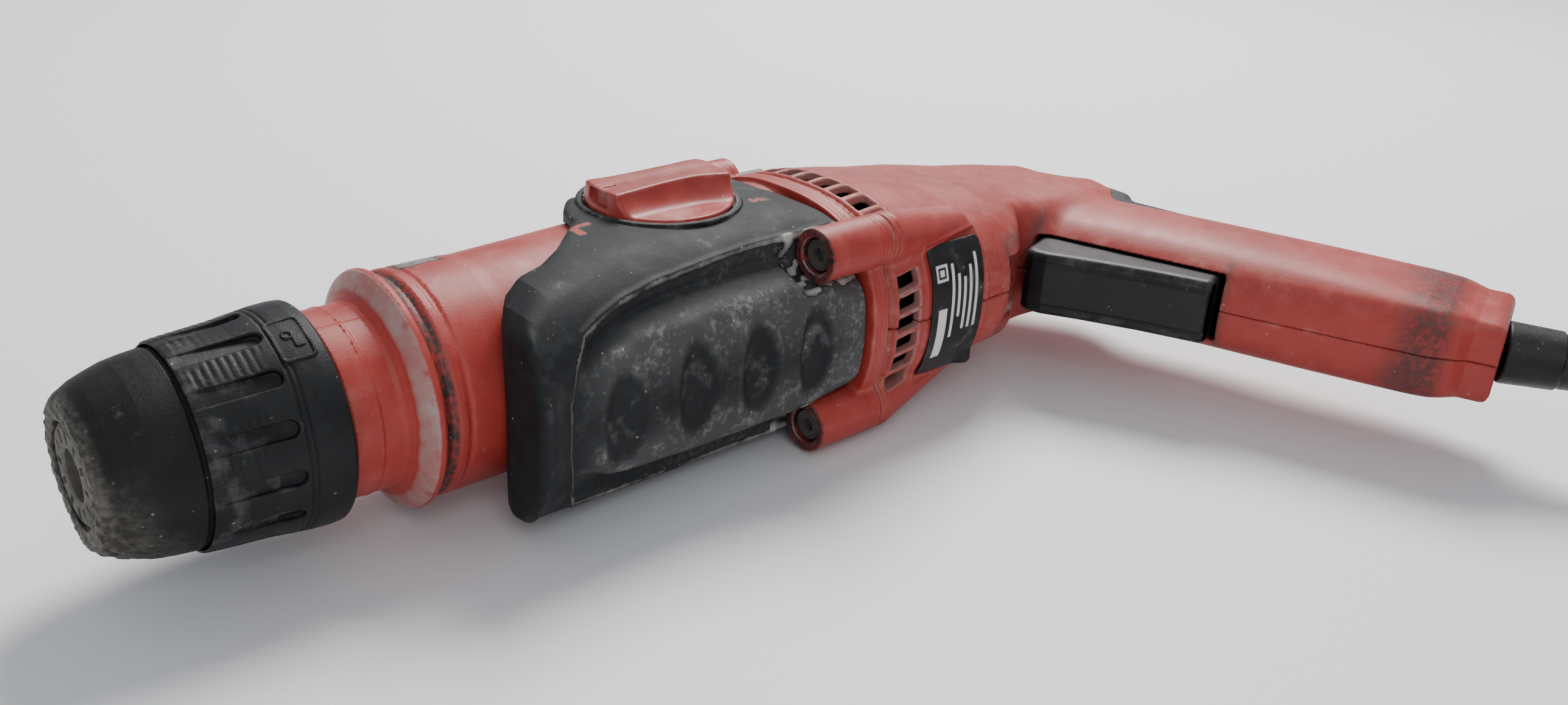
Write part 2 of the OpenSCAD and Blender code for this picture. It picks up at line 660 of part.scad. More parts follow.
module cord_coil() color([0.07, 0.07, 0.07]) place()
  translate([coil_x, coil_y, -axis_height]) rotate_extrude($fn = 96)
    translate([coil_mean_r, 0]) polygon([[-12, 0], [12, 0], [coil_half_w, 5],
      [coil_half_w, coil_h - 5], [11, coil_h], [-11, coil_h], [-coil_half_w, coil_h - 5],
      [-coil_half_w, 5]]);

// Points along the cord's end from the coil to the plug, in tool axes
tail = [[302, -341.5, -23], [293.5, -336.8, -25], [285, -332.8, -27.4], [276.5, -329.6, -29],
  [268, -327.2, -29.2], [260, -325.8, -27.6], [252, -325.1, -24.6], [245, -325, -22]];
plug_x = 245;
plug_y = -325;
plug_half_h = 13;
plug_half_w = 18;

module at_plug() translate([plug_x, plug_y, plug_half_h - axis_height]) rotate([0, -90, 0])
  children();

module plug_body() color([0.08, 0.08, 0.08]) place() at_plug() {
  cylinder(h = 34, r1 = 5.2, r2 = 7.5);
  translate([0, 0, 34]) linear_extrude(height = 34)
    polygon(superellipse(0, plug_half_w, plug_half_h, 2.6));
}

module plug_pins() color([0.7, 0.7, 0.7]) place() at_plug() for (side = [-1, 1])
  translate([0, side * 9.5, 68]) cylinder(h = 19, r = 2.4);

dust_cap();
bit_sleeve();
sleeve_spring();
lock_balls();
chuck_barrel();
release_ring();
chuck_lock_balls();
spindle();
clutch_spring();
clutch_disc();
spindle_gear();
front_seal();
spindle_bearing();
guide_bush();
middle_plate();
anvil();
anvil_seal();
striker();
striker_seal();
piston();
piston_pin();
wobble_ring();
wobble_drum();
intermediate_shaft();
intermediate_gear();
shaft_bearings();
gear_housing();
gear_plate();
grip_cover();
selector_knob();
selector_pin();
selector_seal();
boss_screws();
armature_shaft();
armature_core();
armature_windings();
commutator();
fan();
motor_bearings();
field_core();
field_coils();
rear_bracket();
brush_holders();
brushes();
brush_springs();
housing_left();
housing_right();
back_strip();
rating_label();
trigger();
trigger_spring();
switch_body();
suppressor();
cord_clamp();
handle_screws();
strain_relief();
cord_run();
cord_coil();
plug_body();
plug_pins();
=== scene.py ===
"""Rotary hammer: the outer skins, finishes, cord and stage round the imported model."""
import math
from concurrent.futures import ThreadPoolExecutor

import bpy
import numpy as np
from mathutils import Matrix, Vector


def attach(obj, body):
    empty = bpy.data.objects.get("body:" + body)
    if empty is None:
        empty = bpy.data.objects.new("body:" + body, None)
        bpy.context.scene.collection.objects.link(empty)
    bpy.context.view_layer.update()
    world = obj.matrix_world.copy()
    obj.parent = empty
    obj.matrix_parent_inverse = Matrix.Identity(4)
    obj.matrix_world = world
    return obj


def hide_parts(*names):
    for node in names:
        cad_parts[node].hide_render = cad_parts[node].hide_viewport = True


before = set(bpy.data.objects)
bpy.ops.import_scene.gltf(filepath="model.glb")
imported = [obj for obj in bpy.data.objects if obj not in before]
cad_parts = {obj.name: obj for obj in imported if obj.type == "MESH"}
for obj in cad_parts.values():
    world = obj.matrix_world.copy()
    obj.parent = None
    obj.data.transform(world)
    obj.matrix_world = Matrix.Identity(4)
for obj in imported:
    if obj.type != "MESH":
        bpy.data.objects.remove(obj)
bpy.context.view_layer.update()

# Shapes are written in tool axes, in millimetres: X runs back from the nose along the drill axis,
# Y up to the spine, Z out of the left side. SHIFT takes them to the row frame.
SHIFT = np.array((-181.3703, 68.145, 35.0))
FLOOR = -35.0


def to_row(points):
    return (np.asarray(points, float) + SHIFT) / 1000


# ---------------------------------------------------------------- distances
def smin(a, b, k):
    h = np.clip(0.5 + 0.5 * (b - a) / k, 0, 1)
    return b + (a - b) * h - k * h * (1 - h)


def smax(a, b, k):
    return -smin(-a, -b, k)


def step(low, high, v):
    t = np.clip((v - low) / (high - low), 0, 1)
    return t * t * (3 - 2 * t)


def bell(v, width):
    return np.exp(-((v / width) ** 2))


def outline(u, v, points):
    """Signed distance to a closed polygon, negative inside."""
    best = np.full(u.shape, 1e9, u.dtype)
    inside = np.zeros(u.shape, bool)
    for (ax, ay), (bx, by) in zip(points, points[1:] + points[:1]):
        ex, ey = bx - ax, by - ay
        wx, wy = u - ax, v - ay
        t = np.clip((wx * ex + wy * ey) / (ex * ex + ey * ey), 0, 1)
        best = np.minimum(best, (wx - ex * t) ** 2 + (wy - ey * t) ** 2)
        if ay != by:
            inside ^= ((ay > v) != (by > v)) & (u < ex * (v - ay) / ey + ax)
    return np.where(inside, -1, 1) * np.sqrt(best)


def polyline(u, v, points):
    best = np.full(u.shape, 1e9, u.dtype)
    for (ax, ay), (bx, by) in zip(points, points[1:]):
        ex, ey = bx - ax, by - ay
        t = np.clip(((u - ax) * ex + (v - ay) * ey) / (ex * ex + ey * ey), 0, 1)
        best = np.minimum(best, (u - ax - ex * t) ** 2 + (v - ay - ey * t) ** 2)
    return np.sqrt(best)


def box2(u, v, half_u, half_v, r):
    qu, qv = np.abs(u) - half_u + r, np.abs(v) - half_v + r
    return np.hypot(np.maximum(qu, 0), np.maximum(qv, 0)) + np.minimum(np.maximum(qu, qv), 0) - r


def box3(x, y, z, centre, half, r):
    q = [np.abs(v - c) - h + r for v, c, h in zip((x, y, z), centre, half)]
    out = np.sqrt(sum(np.maximum(v, 0) ** 2 for v in q))
    return out + np.minimum(np.maximum(np.maximum(q[0], q[1]), q[2]), 0) - r


def section(y, z, cy, half_h, half_w, power):
    q = (np.abs((y - cy) / half_h) ** power + np.abs(z / half_w) ** power) ** (1 / power)
    return (q - 1) * np.minimum(half_h, half_w)


def rod(x, y, z, x0, x1, r, cy=0.0, cz=0.0, k=0.3):
    return smax(np.hypot(y - cy, z - cz) - r, np.maximum(x0 - x, x - x1), k)


def turned(x, y, z, points, cy=0.0):
    return outline(x, np.hypot(y - cy, z), points)


def hashed(i, j, k):
    n = np.sin(i * 12.9898 + j * 78.233 + k * 37.719) * 43758.5453
    return n - np.floor(n)


def noise(x, y, z, size):
    """Smooth value noise from 0 to 1, with lumps of about that size."""
    x, y, z = (np.asarray(v, np.float64) / size for v in (x, y, z))
    i, j, k = np.floor(x), np.floor(y), np.floor(z)
    u, v, w = (step(0, 1, a - b) for a, b in ((x, i), (y, j), (z, k)))
    total = 0
    for a in (0, 1):
        for b in (0, 1):
            for c in (0, 1):
                share = (u if a else 1 - u) * (v if b else 1 - v) * (w if c else 1 - w)
                total = total + share * hashed(i + a, j + b, k + c)
    return total


# ---------------------------------------------------------------- meshes from distances
def evaluate(shape, points):
    parts = np.array_split(np.asarray(points, np.float32), max(1, len(points) // 50000))
    with ThreadPoolExecutor(4) as pool:
        found = pool.map(lambda p: shape(p[:, 0], p[:, 1], p[:, 2]), parts)
        return np.concatenate([np.asarray(f, np.float32) for f in found])


def slope_of(shape, points, reach):
    out = np.empty((len(points), 3))
    for axis in range(3):
        side = np.zeros(3)
        side[axis] = reach
        rise = evaluate(shape, points + side) - evaluate(shape, points - side)
        out[:, axis] = rise / (2 * reach)
    return out


def surface(name, shape, low, high, cell, finish, body, nodes=(), marks=None, edge=1.0):
    """A smooth quad mesh of where shape is 0, on a grid of that cell, in tool millimetres.

    Its points carry how far they stand on an edge of that size, how deep they lie in a hollow,
    and what marks gives: scuffs, stains and painted shade above 0, print above 1, chalk below 0.
    """
    low, high = np.array(low, float), np.array(high, float)
    block = 8
    count = np.ceil((high - low) / (cell * block)).astype(int)
    mesh_grid = np.meshgrid(*[np.arange(c) for c in count], indexing="ij")
    # Only blocks that the surface can reach are filled in finely.
    middles = low + (np.stack(mesh_grid, -1).reshape(-1, 3) + 0.5) * block * cell
    rough = evaluate(shape, middles)
    steep = np.linalg.norm(slope_of(shape, middles, 0.5), axis=1)
    reach = block * cell * 1.1 * np.maximum(1.0, steep) + 1.0
    near = np.argwhere((np.abs(rough) < reach).reshape(count))
    grid = np.where(rough.reshape(count) < 0, -cell, cell).astype(np.float32)
    for axis in range(3):
        grid = np.repeat(grid, block, axis)
    local = np.stack(np.meshgrid(*[np.arange(block)] * 3, indexing="ij"), -1).reshape(-1, 3)
    index = (near[:, None, :] * block + local).reshape(-1, 3)
    grid[tuple(index.T)] = evaluate(shape, low + index * cell)

    # One point in each cell that the surface crosses, in the middle of its crossings.
    inside = grid < 0
    total = np.zeros([n - 1 for n in grid.shape], np.int8)
    corners = [(a, b, c) for a in (0, 1) for b in (0, 1) for c in (0, 1)]
    for a, b, c in corners:
        total += inside[a:a + total.shape[0], b:b + total.shape[1], c:c + total.shape[2]]
    cells = np.argwhere((total > 0) & (total < 8))
    number = np.full(total.shape, -1, np.int32)
    number[tuple(cells.T)] = np.arange(len(cells))
    sums, hits = np.zeros((len(cells), 3)), np.zeros(len(cells))
    for axis in range(3):
        unit = np.eye(3, dtype=int)[axis]
        for corner in corners:
            if corner[axis]:
                continue
            first = cells + corner
            a, b = grid[tuple(first.T)], grid[tuple((first + unit).T)]
            cross = (a < 0) != (b < 0)
            t = (a[cross] / (a[cross] - b[cross]))[:, None]
            sums[cross] += np.array(corner) + t * unit
            hits[cross] += 1
    points = low + (cells + sums / hits[:, None]) * cell
    # One quad across each grid edge that the surface crosses.
    quads = []
    for axis in range(3):
        u, v = (axis + 1) % 3, (axis + 2) % 3
        lower, upper = [slice(1, -1)] * 3, [slice(1, -1)] * 3
        lower[axis], upper[axis] = slice(0, -1), slice(1, None)
        a, b = inside[tuple(lower)], inside[tuple(upper)]
        at = np.argwhere(a != b)
        outward = a[tuple(at.T)]
        shift = np.ones(3, int)
        shift[axis] = 0
        at = at + shift
        eu, ev = np.eye(3, dtype=int)[u], np.eye(3, dtype=int)[v]
        ring = np.stack([number[tuple((at - s).T)] for s in (0 * eu, eu, eu + ev, ev)], 1)
        ring[~outward] = ring[~outward][:, ::-1]
        quads.append(ring)
    quads = np.concatenate(quads)

    # Two steps bring the points onto the surface itself.
    for _ in range(2):
        value = evaluate(shape, points)
        slope = slope_of(shape, points, 0.06)
        move = slope * (value / np.maximum((slope ** 2).sum(1), 0.05))[:, None]
        far = np.maximum(np.linalg.norm(move, axis=1) / (0.5 * cell), 1)
        points -= move / far[:, None]
    normals = slope_of(shape, points, 0.06)
    normals /= np.maximum(np.linalg.norm(normals, axis=1), 1e-6)[:, None]
    deep = 1.3 * edge
    convex = np.clip(1 + evaluate(shape, points - normals * deep) / deep, 0, 1)
    hollow = np.clip(1 - evaluate(shape, points + normals * deep) / deep, 0, 1)
    scuff_and_shade = marks(*points.T) if marks else np.zeros(len(points))

    mesh = bpy.data.meshes.new(name)
    mesh.vertices.add(len(points))
    mesh.vertices.foreach_set("co", to_row(points).astype(np.float32).ravel())
    mesh.loops.add(4 * len(quads))
    mesh.loops.foreach_set("vertex_index", quads.ravel().astype(np.int32))
    mesh.polygons.add(len(quads))
    mesh.polygons.foreach_set("loop_start", np.arange(0, 4 * len(quads), 4, dtype=np.int32))
    mesh.update(calc_edges=True)
    mesh.validate()
    mesh.polygons.foreach_set("use_smooth", np.ones(len(mesh.polygons), bool))
    mesh.normals_split_custom_set_from_vertices(normals.astype(np.float32).tolist())
    for key, values in (("edge", convex), ("pit", hollow), ("scuff_and_shade", scuff_and_shade)):
        layer = mesh.attributes.new(key, "FLOAT", "POINT")
        layer.data.foreach_set("value", np.asarray(values, np.float32))
    mesh.materials.append(finish)
    piece = bpy.data.objects.new(name, mesh)
    bpy.context.collection.objects.link(piece)
    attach(piece, body)
    if nodes:
        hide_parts(*nodes)
    return piece


# ---------------------------------------------------------------- finishes
def finish(name, base, dark, rough, grain=0.25, grain_size=0.35, worn=None, wear=0.5, dust=0.25,
           dust_color=(0.42, 0.40, 0.37), scuff_and_shade_color=None, specks=0.25, metal=0.0, streaks=0.0,
           patch=(0.05, 0.05, 0.05), patchy=0.5, spec=0.5, chalk_color=(0.4, 0.37, 0.34)):
    """A used surface: mottled colour, dusty hollows and tops, worn edges, specks and fine grain."""
    mat = bpy.data.materials.new(name)
    mat.use_nodes = True
    tree = mat.node_tree
    shader = tree.nodes["Principled BSDF"]
    shader.inputs["Metallic"].default_value = metal
    shader.inputs["Specular IOR Level"].default_value = spec
    place = tree.nodes.new("ShaderNodeTexCoord").outputs["Object"]

    def fill(socket, value):
        if isinstance(value, bpy.types.NodeSocket):
            tree.links.new(value, socket)
        else:
            socket.default_value = value

    def node(kind, **inputs):
        made = tree.nodes.new(kind)
        for key, value in inputs.items():
            fill(made.inputs[key.replace("_", " ")], value)
        return made

    def math_(kind, a, b, clamp=False):
        made = tree.nodes.new("ShaderNodeMath")
        fill(made.inputs[0], a)
        fill(made.inputs[1], b)
        made.operation = kind
        made.use_clamp = clamp
        return made.outputs[0]

    def cloud(size_mm, detail=4.0, stretch=None, rough_=0.6):
        at = place
        if stretch:
            at = node("ShaderNodeMapping", Vector=place, Scale=stretch).outputs[0]
        return node("ShaderNodeTexNoise", Vector=at, Scale=1000.0 / size_mm, Detail=detail,
                    Roughness=rough_).outputs["Fac"]

    def ramp(value, low, high):
        made = node("ShaderNodeMapRange", Value=value, From_Min=low, From_Max=high)
        made.clamp = True
        return made.outputs[0]

    def blend(factor, a, b):
        made = tree.nodes.new("ShaderNodeMix")
        made.data_type = "RGBA"
        fill(made.inputs[0], factor)
        for socket, color in ((made.inputs[6], a), (made.inputs[7], b)):
            fill(socket, (*color, 1) if isinstance(color, tuple) else color)
        return made.outputs[2]

    def attribute(key):
        made = tree.nodes.new("ShaderNodeAttribute")
        made.attribute_name = key
        return made.outputs["Fac"]

    # The plastic or metal itself, mottled between its two colours.
    broad, mid, fine = cloud(38, 5.0), cloud(7, 6.0), cloud(1.6, 5.0)
    color = blend(ramp(broad, 0.35, 0.68), dark, base)
    lighter = tuple(min(1, c * 1.12 + 0.012) for c in base)
    color = blend(math_("MULTIPLY", ramp(mid, 0.45, 0.75), 0.45), color, lighter)
    # Marks: a thin veil with broken patches in it, which on the red shell also paints shade in the
    # gear case groove and screw recesses; the patch colour, worn edges and chalk.
    if scuff_and_shade_color:
        scuff_and_shade = attribute("scuff_and_shade")
        color = blend(math_("MULTIPLY", ramp(scuff_and_shade, 0.0, 1.0), 0.3), color, scuff_and_shade_color)
        grit = math_("ADD", math_("MULTIPLY", fine, 0.6), math_("MULTIPLY", mid, 0.5))
        torn = math_("MULTIPLY", scuff_and_shade, ramp(grit, patchy - 0.06, patchy + 0.1), True)
        color = blend(torn, color, scuff_and_shade_color)
        inner = math_("MULTIPLY", ramp(scuff_and_shade, 1.2, 1.9), ramp(fine, 0.4, 0.5))
        color = blend(inner, color, patch)
    if worn:
        spread = ramp(mid, 0.62 - 0.3 * wear, 0.8 - 0.3 * wear)
        rubbed = math_("MULTIPLY", ramp(attribute("edge"), 0.12, 0.5), spread)
        color = blend(math_("MULTIPLY", rubbed, wear * 1.3, True), color, worn)
    chalk = ramp(math_("ADD", attribute("scuff_and_shade"), math_("MULTIPLY", mid, 0.9)), 0.3, -0.35)
    color = blend(math_("MULTIPLY", chalk, 0.9), color, chalk_color)
    # Dust that settled on top and was caught in hollows, specks and fine scratches.
    up = tree.nodes.new("ShaderNodeSeparateXYZ")
    tree.links.new(tree.nodes.new("ShaderNodeNewGeometry").outputs["Normal"], up.inputs[0])
    settled = math_("MULTIPLY", ramp(up.outputs["Z"], 0.1, 1.0), ramp(mid, 0.38, 0.72))
    caught = math_("MULTIPLY", ramp(attribute("pit"), 0.08, 0.55), ramp(fine, 0.3, 0.6))
    in_hollows = math_("MULTIPLY", caught, min(1.0, dust * 1.9))
    powder = math_("ADD", math_("MULTIPLY", settled, dust), in_hollows, True)
    color = blend(powder, color, dust_color)
    if specks:
        spots = node("ShaderNodeTexVoronoi", Vector=place, Scale=330.0)
        dots = ramp(spots.outputs["Distance"], 0.13, 0.07)
        dots = math_("MULTIPLY", dots, ramp(mid, 0.52, 0.6))
        color = blend(math_("MULTIPLY", dots, specks), color, (0.55, 0.53, 0.5))
    if streaks:
        lines = ramp(cloud(2.0, 3.0, (0.06, 1.0, 1.0)), 0.66, 0.72)
        color = blend(math_("MULTIPLY", lines, streaks), color, (0.5, 0.48, 0.46))
    tree.links.new(color, shader.inputs["Base Color"])
    shine = math_("ADD", math_("MULTIPLY", mid, 0.28), rough - 0.14)
    shine = math_("ADD", shine, math_("MULTIPLY", powder, 0.35), True)
    tree.links.new(shine, shader.inputs["Roughness"])
    relief = math_("ADD", math_("MULTIPLY", cloud(grain_size, 3.0), 1.0),
                   math_("MULTIPLY", fine, 0.8))
    bump = node("ShaderNodeBump", Strength=grain, Distance=0.00025, Height=relief)
    tree.links.new(bump.outputs[0], shader.inputs["Normal"])
    return mat


# Its near-black scuff colour paints scuffs and the handle stain, and painted shade in the gear case
# groove and screw recesses.
RED = finish("red_shell", (0.40, 0.042, 0.033), (0.31, 0.03, 0.024), 0.45, grain=0.22,
             worn=(0.5, 0.2, 0.16), wear=0.35, dust=0.1, dust_color=(0.46, 0.3, 0.26),
             scuff_and_shade_color=(0.02, 0.018, 0.018), specks=0.3, patch=(0.34, 0.33, 0.32), patchy=0.5,
             spec=0.38)
RED_KNOB = finish("red_knob", (0.42, 0.045, 0.034), (0.3, 0.036, 0.03), 0.36, grain=0.2,
                  worn=(0.5, 0.22, 0.18), wear=0.5, dust=0.12, dust_color=(0.46, 0.3, 0.26),
                  specks=0.5, spec=0.4)
GRIP = finish("grip_cover", (0.014, 0.0155, 0.017), (0.008, 0.009, 0.01), 0.6, grain=0.35,
              worn=(0.14, 0.14, 0.14), wear=0.4, dust=0.03, dust_color=(0.12, 0.12, 0.116),
              scuff_and_shade_color=(0.22, 0.22, 0.215), specks=0.4, patch=(0.5, 0.07, 0.05), patchy=0.62,
              spec=0.22, chalk_color=(0.5, 0.49, 0.47))
RUBBER = finish("chuck_rubber", (0.009, 0.0092, 0.0095), (0.006, 0.006, 0.006), 0.55, grain=0.5,
                worn=(0.09, 0.086, 0.078), wear=0.4, dust=0.02, dust_color=(0.1, 0.097, 0.088),
                scuff_and_shade_color=(0.12, 0.11, 0.092), specks=0.3, patchy=0.55, spec=0.22)
RING = finish("ring_plastic", (0.009, 0.0098, 0.011), (0.006, 0.0065, 0.007), 0.48, grain=0.35,
              worn=(0.12, 0.12, 0.12), wear=0.4, dust=0.02, dust_color=(0.1, 0.1, 0.097),
              specks=0.4, spec=0.25)
NOSE = finish("nose_face", (0.12, 0.112, 0.095), (0.05, 0.046, 0.04), 0.7, grain=0.7,
              worn=(0.2, 0.19, 0.165), wear=0.6, dust=0.1, dust_color=(0.15, 0.14, 0.125),
              specks=0.2, spec=0.3)
TRIGGER = finish("trigger_plastic", (0.006, 0.006, 0.0065), (0.004, 0.004, 0.0045), 0.4, grain=0.3,
                 worn=(0.12, 0.12, 0.12), wear=0.5, dust=0.05, dust_color=(0.09, 0.09, 0.09),
                 specks=0.2, spec=0.35)
LABEL = finish("label_foil", (0.012, 0.012, 0.0125), (0.007, 0.007, 0.0075), 0.38, grain=0.1,
               worn=(0.2, 0.19, 0.18), wear=0.2, dust=0.02, dust_color=(0.2, 0.19, 0.18),
               scuff_and_shade_color=(0.7, 0.7, 0.68), specks=0.3, patchy=0.3, spec=0.3)
SOFT = finish("soft_grip", (0.016, 0.0165, 0.017), (0.01, 0.01, 0.0105), 0.6, grain=0.6,
              worn=(0.1, 0.1, 0.1), wear=0.4, dust=0.12, dust_color=(0.14, 0.14, 0.14), specks=0.2,
              spec=0.35)
CABLE = finish("cable_rubber", (0.011, 0.011, 0.012), (0.007, 0.007, 0.0075), 0.45, grain=0.4,
               worn=(0.08, 0.08, 0.08), wear=0.4, dust=0.08, dust_color=(0.12, 0.12, 0.115),
               specks=0.25, streaks=0.12, spec=0.35)
STEEL = finish("hard_steel", (0.42, 0.41, 0.4), (0.28, 0.28, 0.28), 0.34, grain=0.12, dust=0.05,
               specks=0, metal=1.0, streaks=0.3)
GEAR = finish("gear_steel", (0.33, 0.32, 0.31), (0.2, 0.2, 0.2), 0.4, grain=0.2, dust=0.1,
              dust_color=(0.12, 0.09, 0.05), specks=0, metal=1.0)
BEARING = finish("bearing_steel", (0.55, 0.55, 0.55), (0.42, 0.42, 0.43), 0.2, grain=0.06, dust=0.0,
                 specks=0, metal=1.0, streaks=0.2)
SPRING = finish("spring_steel", (0.3, 0.3, 0.31), (0.2, 0.2, 0.21), 0.35, grain=0.15, dust=0.05,
                specks=0, metal=1.0)
SCREW = finish("screw_steel", (0.16, 0.15, 0.14), (0.08, 0.07, 0.065), 0.5, grain=0.6,
               worn=(0.45, 0.44, 0.42), wear=0.9, dust=0.4, dust_color=(0.3, 0.28, 0.25),
               specks=0.3, metal=0.6)
BRONZE = finish("bronze", (0.4, 0.26, 0.1), (0.28, 0.18, 0.08), 0.4, grain=0.3, dust=0.05, specks=0,
                metal=1.0)
ALLOY = finish("plate_alloy", (0.5, 0.5, 0.5), (0.38, 0.38, 0.39), 0.45, grain=0.6, dust=0.06,
               specks=0, metal=1.0)
LAMINATION = finish("lamination", (0.17, 0.17, 0.18), (0.08, 0.08, 0.085), 0.5, grain=0.5,
                    dust=0.08, specks=0, metal=0.8, streaks=0.3)
COPPER = finish("copper_wire", (0.45, 0.17, 0.06), (0.28, 0.1, 0.035), 0.35, grain=0.7,
                grain_size=0.6, dust=0.05, specks=0, metal=0.9, streaks=0.2)
FAN = finish("fan_plastic", (0.03, 0.03, 0.032), (0.016, 0.016, 0.017), 0.5, grain=0.3, dust=0.3,
             dust_color=(0.22, 0.21, 0.2), specks=0.2)
SEAL = finish("seal_rubber", (0.02, 0.02, 0.02), (0.012, 0.012, 0.012), 0.55, grain=0.4, dust=0.1,
              specks=0)
CARBON = finish("carbon", (0.02, 0.02, 0.021), (0.01, 0.01, 0.01), 0.6, grain=0.5, dust=0.05,
                specks=0)
FILM = finish("suppressor_film", (0.5, 0.36, 0.06), (0.38, 0.27, 0.05), 0.3, grain=0.15, dust=0.06,
              specks=0)
BORE = finish("oily_steel", (0.007, 0.0065, 0.006), (0.004, 0.0037, 0.0035), 0.6, grain=0.3,
              dust=0.02, specks=0, metal=0.0, spec=0.15)
PINS = finish("pin_brass", (0.62, 0.58, 0.5), (0.45, 0.42, 0.36), 0.28, grain=0.12, dust=0.05,
              specks=0, metal=1.0, streaks=0.35)

NODE_FINISH = (
    (BEARING, "lock_balls chuck_lock_balls spindle_bearing shaft_bearings motor_bearings"),
    (STEEL, "spindle intermediate_shaft armature_shaft anvil striker piston piston_pin "
            "wobble_ring wobble_drum clutch_disc selector_pin"),
    (GEAR, "spindle_gear intermediate_gear"),
    (SPRING, "sleeve_spring clutch_spring trigger_spring brush_springs"),
    (SEAL, "front_seal anvil_seal striker_seal selector_seal"),
    (BRONZE, "guide_bush brush_holders"),
    (ALLOY, "middle_plate gear_plate"),
    (SCREW, "handle_screws boss_screws"),
    (LAMINATION, "armature_core field_core"),
    (COPPER, "armature_windings field_coils commutator"),
    (FAN, "fan rear_bracket switch_body cord_clamp"),
    (BORE, "chuck_barrel"),
    (CARBON, "brushes"),
    (FILM, "suppressor"),
    (PINS, "plug_pins"),
)
for mat, names in NODE_FINISH:
    for node_name in names.split():
        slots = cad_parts[node_name].data.materials
        for i in range(len(slots)):
            slots[i] = mat


# ---------------------------------------------------------------- camera, light and floor
CAMERA_PLACE = (-0.2423, -0.2196, 0.1877)
CAMERA_HEADING = -43.29
CAMERA_DOWN = 24.37
CAMERA_ROLL = 3.17
AIM = (0, 0, 0.03)


def make_camera():
    data = bpy.data.cameras.new("camera")
    data.lens = 30.92
    data.sensor_width = 36
    data.dof.use_dof = False
    camera = bpy.data.objects.new("camera", data)
    bpy.context.collection.objects.link(camera)
    turn = (Matrix.Rotation(math.radians(CAMERA_HEADING), 4, "Z")
            @ Matrix.Rotation(math.radians(90 - CAMERA_DOWN), 4, "X")
            @ Matrix.Rotation(math.radians(CAMERA_ROLL), 4, "Z"))
    camera.matrix_world = Matrix.Translation(CAMERA_PLACE) @ turn
    bpy.context.scene.camera = camera


def make_light(name, place, size, watts, color):
    data = bpy.data.lights.new(name, "AREA")
    data.shape = "DISK"
    data.size = size
    data.energy = watts
    data.color = color
    lamp = bpy.data.objects.new(name, data)
    bpy.context.collection.objects.link(lamp)
    back = Vector(place) - Vector(AIM)
    turn = back.to_track_quat("Z", "Y").to_matrix().to_4x4()
    lamp.matrix_world = Matrix.Translation(place) @ turn


def make_stage():
    mesh = bpy.data.meshes.new("floor")
    far = 4
    corners = [(-far, -far, 0), (far, -far, 0), (far, far, 0), (-far, far, 0)]
    mesh.from_pydata(corners, [], [(0, 1, 2, 3)])
    floor = bpy.data.objects.new("floor", mesh)
    bpy.context.collection.objects.link(floor)
    mat = bpy.data.materials.new("floor_paper")
    mat.use_nodes = True
    shader = mat.node_tree.nodes["Principled BSDF"]
    shader.inputs["Base Color"].default_value = (0.86, 0.86, 0.87, 1)
    shader.inputs["Roughness"].default_value = 0.6
    mesh.materials.append(mat)
    world = bpy.data.worlds.new("world")
    world.use_nodes = True
    sky = world.node_tree.nodes["Background"]
    sky.inputs["Color"].default_value = (0.93, 0.95, 1.0, 1)
    sky.inputs["Strength"].default_value = 0.5
    bpy.context.scene.world = world
    make_light("key", (0.75, 0.6, 1.2), 0.8, 34, (1.0, 0.99, 0.97))
    make_light("fill", (-0.6, -1.0, 0.9), 0.9, 5, (0.95, 0.97, 1.0))


make_camera()
make_stage()

# ---------------------------------------------------------------- cord
RELIEF_ROOT = np.array((343.6, -165.6, 0.0))
RELIEF_LONG = 56
LEAN = math.radians(28 - 90)
CORD_R = 4.0
COIL = (330.0, -292.0)
COIL_INSIDE = 33.6
COIL_IN = 279.2
ROW_GAP = 8.3
ROW_RISE = 6.95
LAYERS = ((3, 2, 1, 0), (0.5, 1.5, 2.5), (3, 2, 1, 0), (0.5, 1.5))
PLUG = (245.0, -325.0, 13.0)


def around(angle, r, height):
    a = math.radians(angle)
    return (COIL[0] + r * math.cos(a), COIL[1] + r * math.sin(a), FLOOR + height)


def coil_path():
    """Down from the handle, then four layers wound from outside, and off the top to the plug."""
    rows = [(66.7, 0)]
    for row, turns in enumerate(LAYERS):
        rows += [(COIL_INSIDE + ROW_GAP * r, row) for r in turns]
    points = [(369.9, -215, 0), (373.7, -222.2, -0.5), (378, -231, -2.2), (382.5, -240.5, -5.4),
              (386.6, -250, -9.8), (389.8, -259.5, -14.6), (392.3, -269, -19.3),
              (394.2, -278.5, -23.6)]
    points += [around(8, 65.7, 9.2), around(0, 66.6, 6.7)]
    # A turn moves to the next radius in its last quarter, or climbs to the next layer just before,
    # and is lifted where it passes over the crossings below.
    for n, (r, row) in enumerate(rows):
        after, next_row = rows[min(n + 1, len(rows) - 1)]
        first, last = (285 if n == 0 else 0), (250 if n == len(rows) - 1 else 360)
        for t in range(first, last, 15):
            share = float(step(195, 285, t) if next_row != row else step(270, 360, t))
            level = row + (next_row - row) * share
            bump = 1.1 * level * float(step(262, 285, t) + step(22, 0, t))
            height = CORD_R + ROW_RISE * level + bump
            points.append(around(COIL_IN - t, r + (after - r) * share, height))
    points += [around(5, 47.6, 26.4), around(-8, 49.6, 28.0), around(-20, 52, 28.5),
               around(-33, 54.6, 28.6), around(-45, 57.2, 28.6), around(-56, 59.6, 28.3),
               around(-66, 62, 27.2), around(-75, 64.4, 25), around(-85, 66.6, 21.6),
               around(-96, 68.3, 17.6), around(-108, 69.6, 13.6), around(-119, 71, 10.4),
               around(-128, 72.8, 8.4)]
    points += [(277, -341.4, FLOOR + 7.6), (268.2, -334.6, FLOOR + 8), (259.6, -329.6, FLOOR + 9.6),
               (251.6, -326.6, FLOOR + 11.6), (PLUG[0], PLUG[1], FLOOR + PLUG[2])]
    return np.array(points)


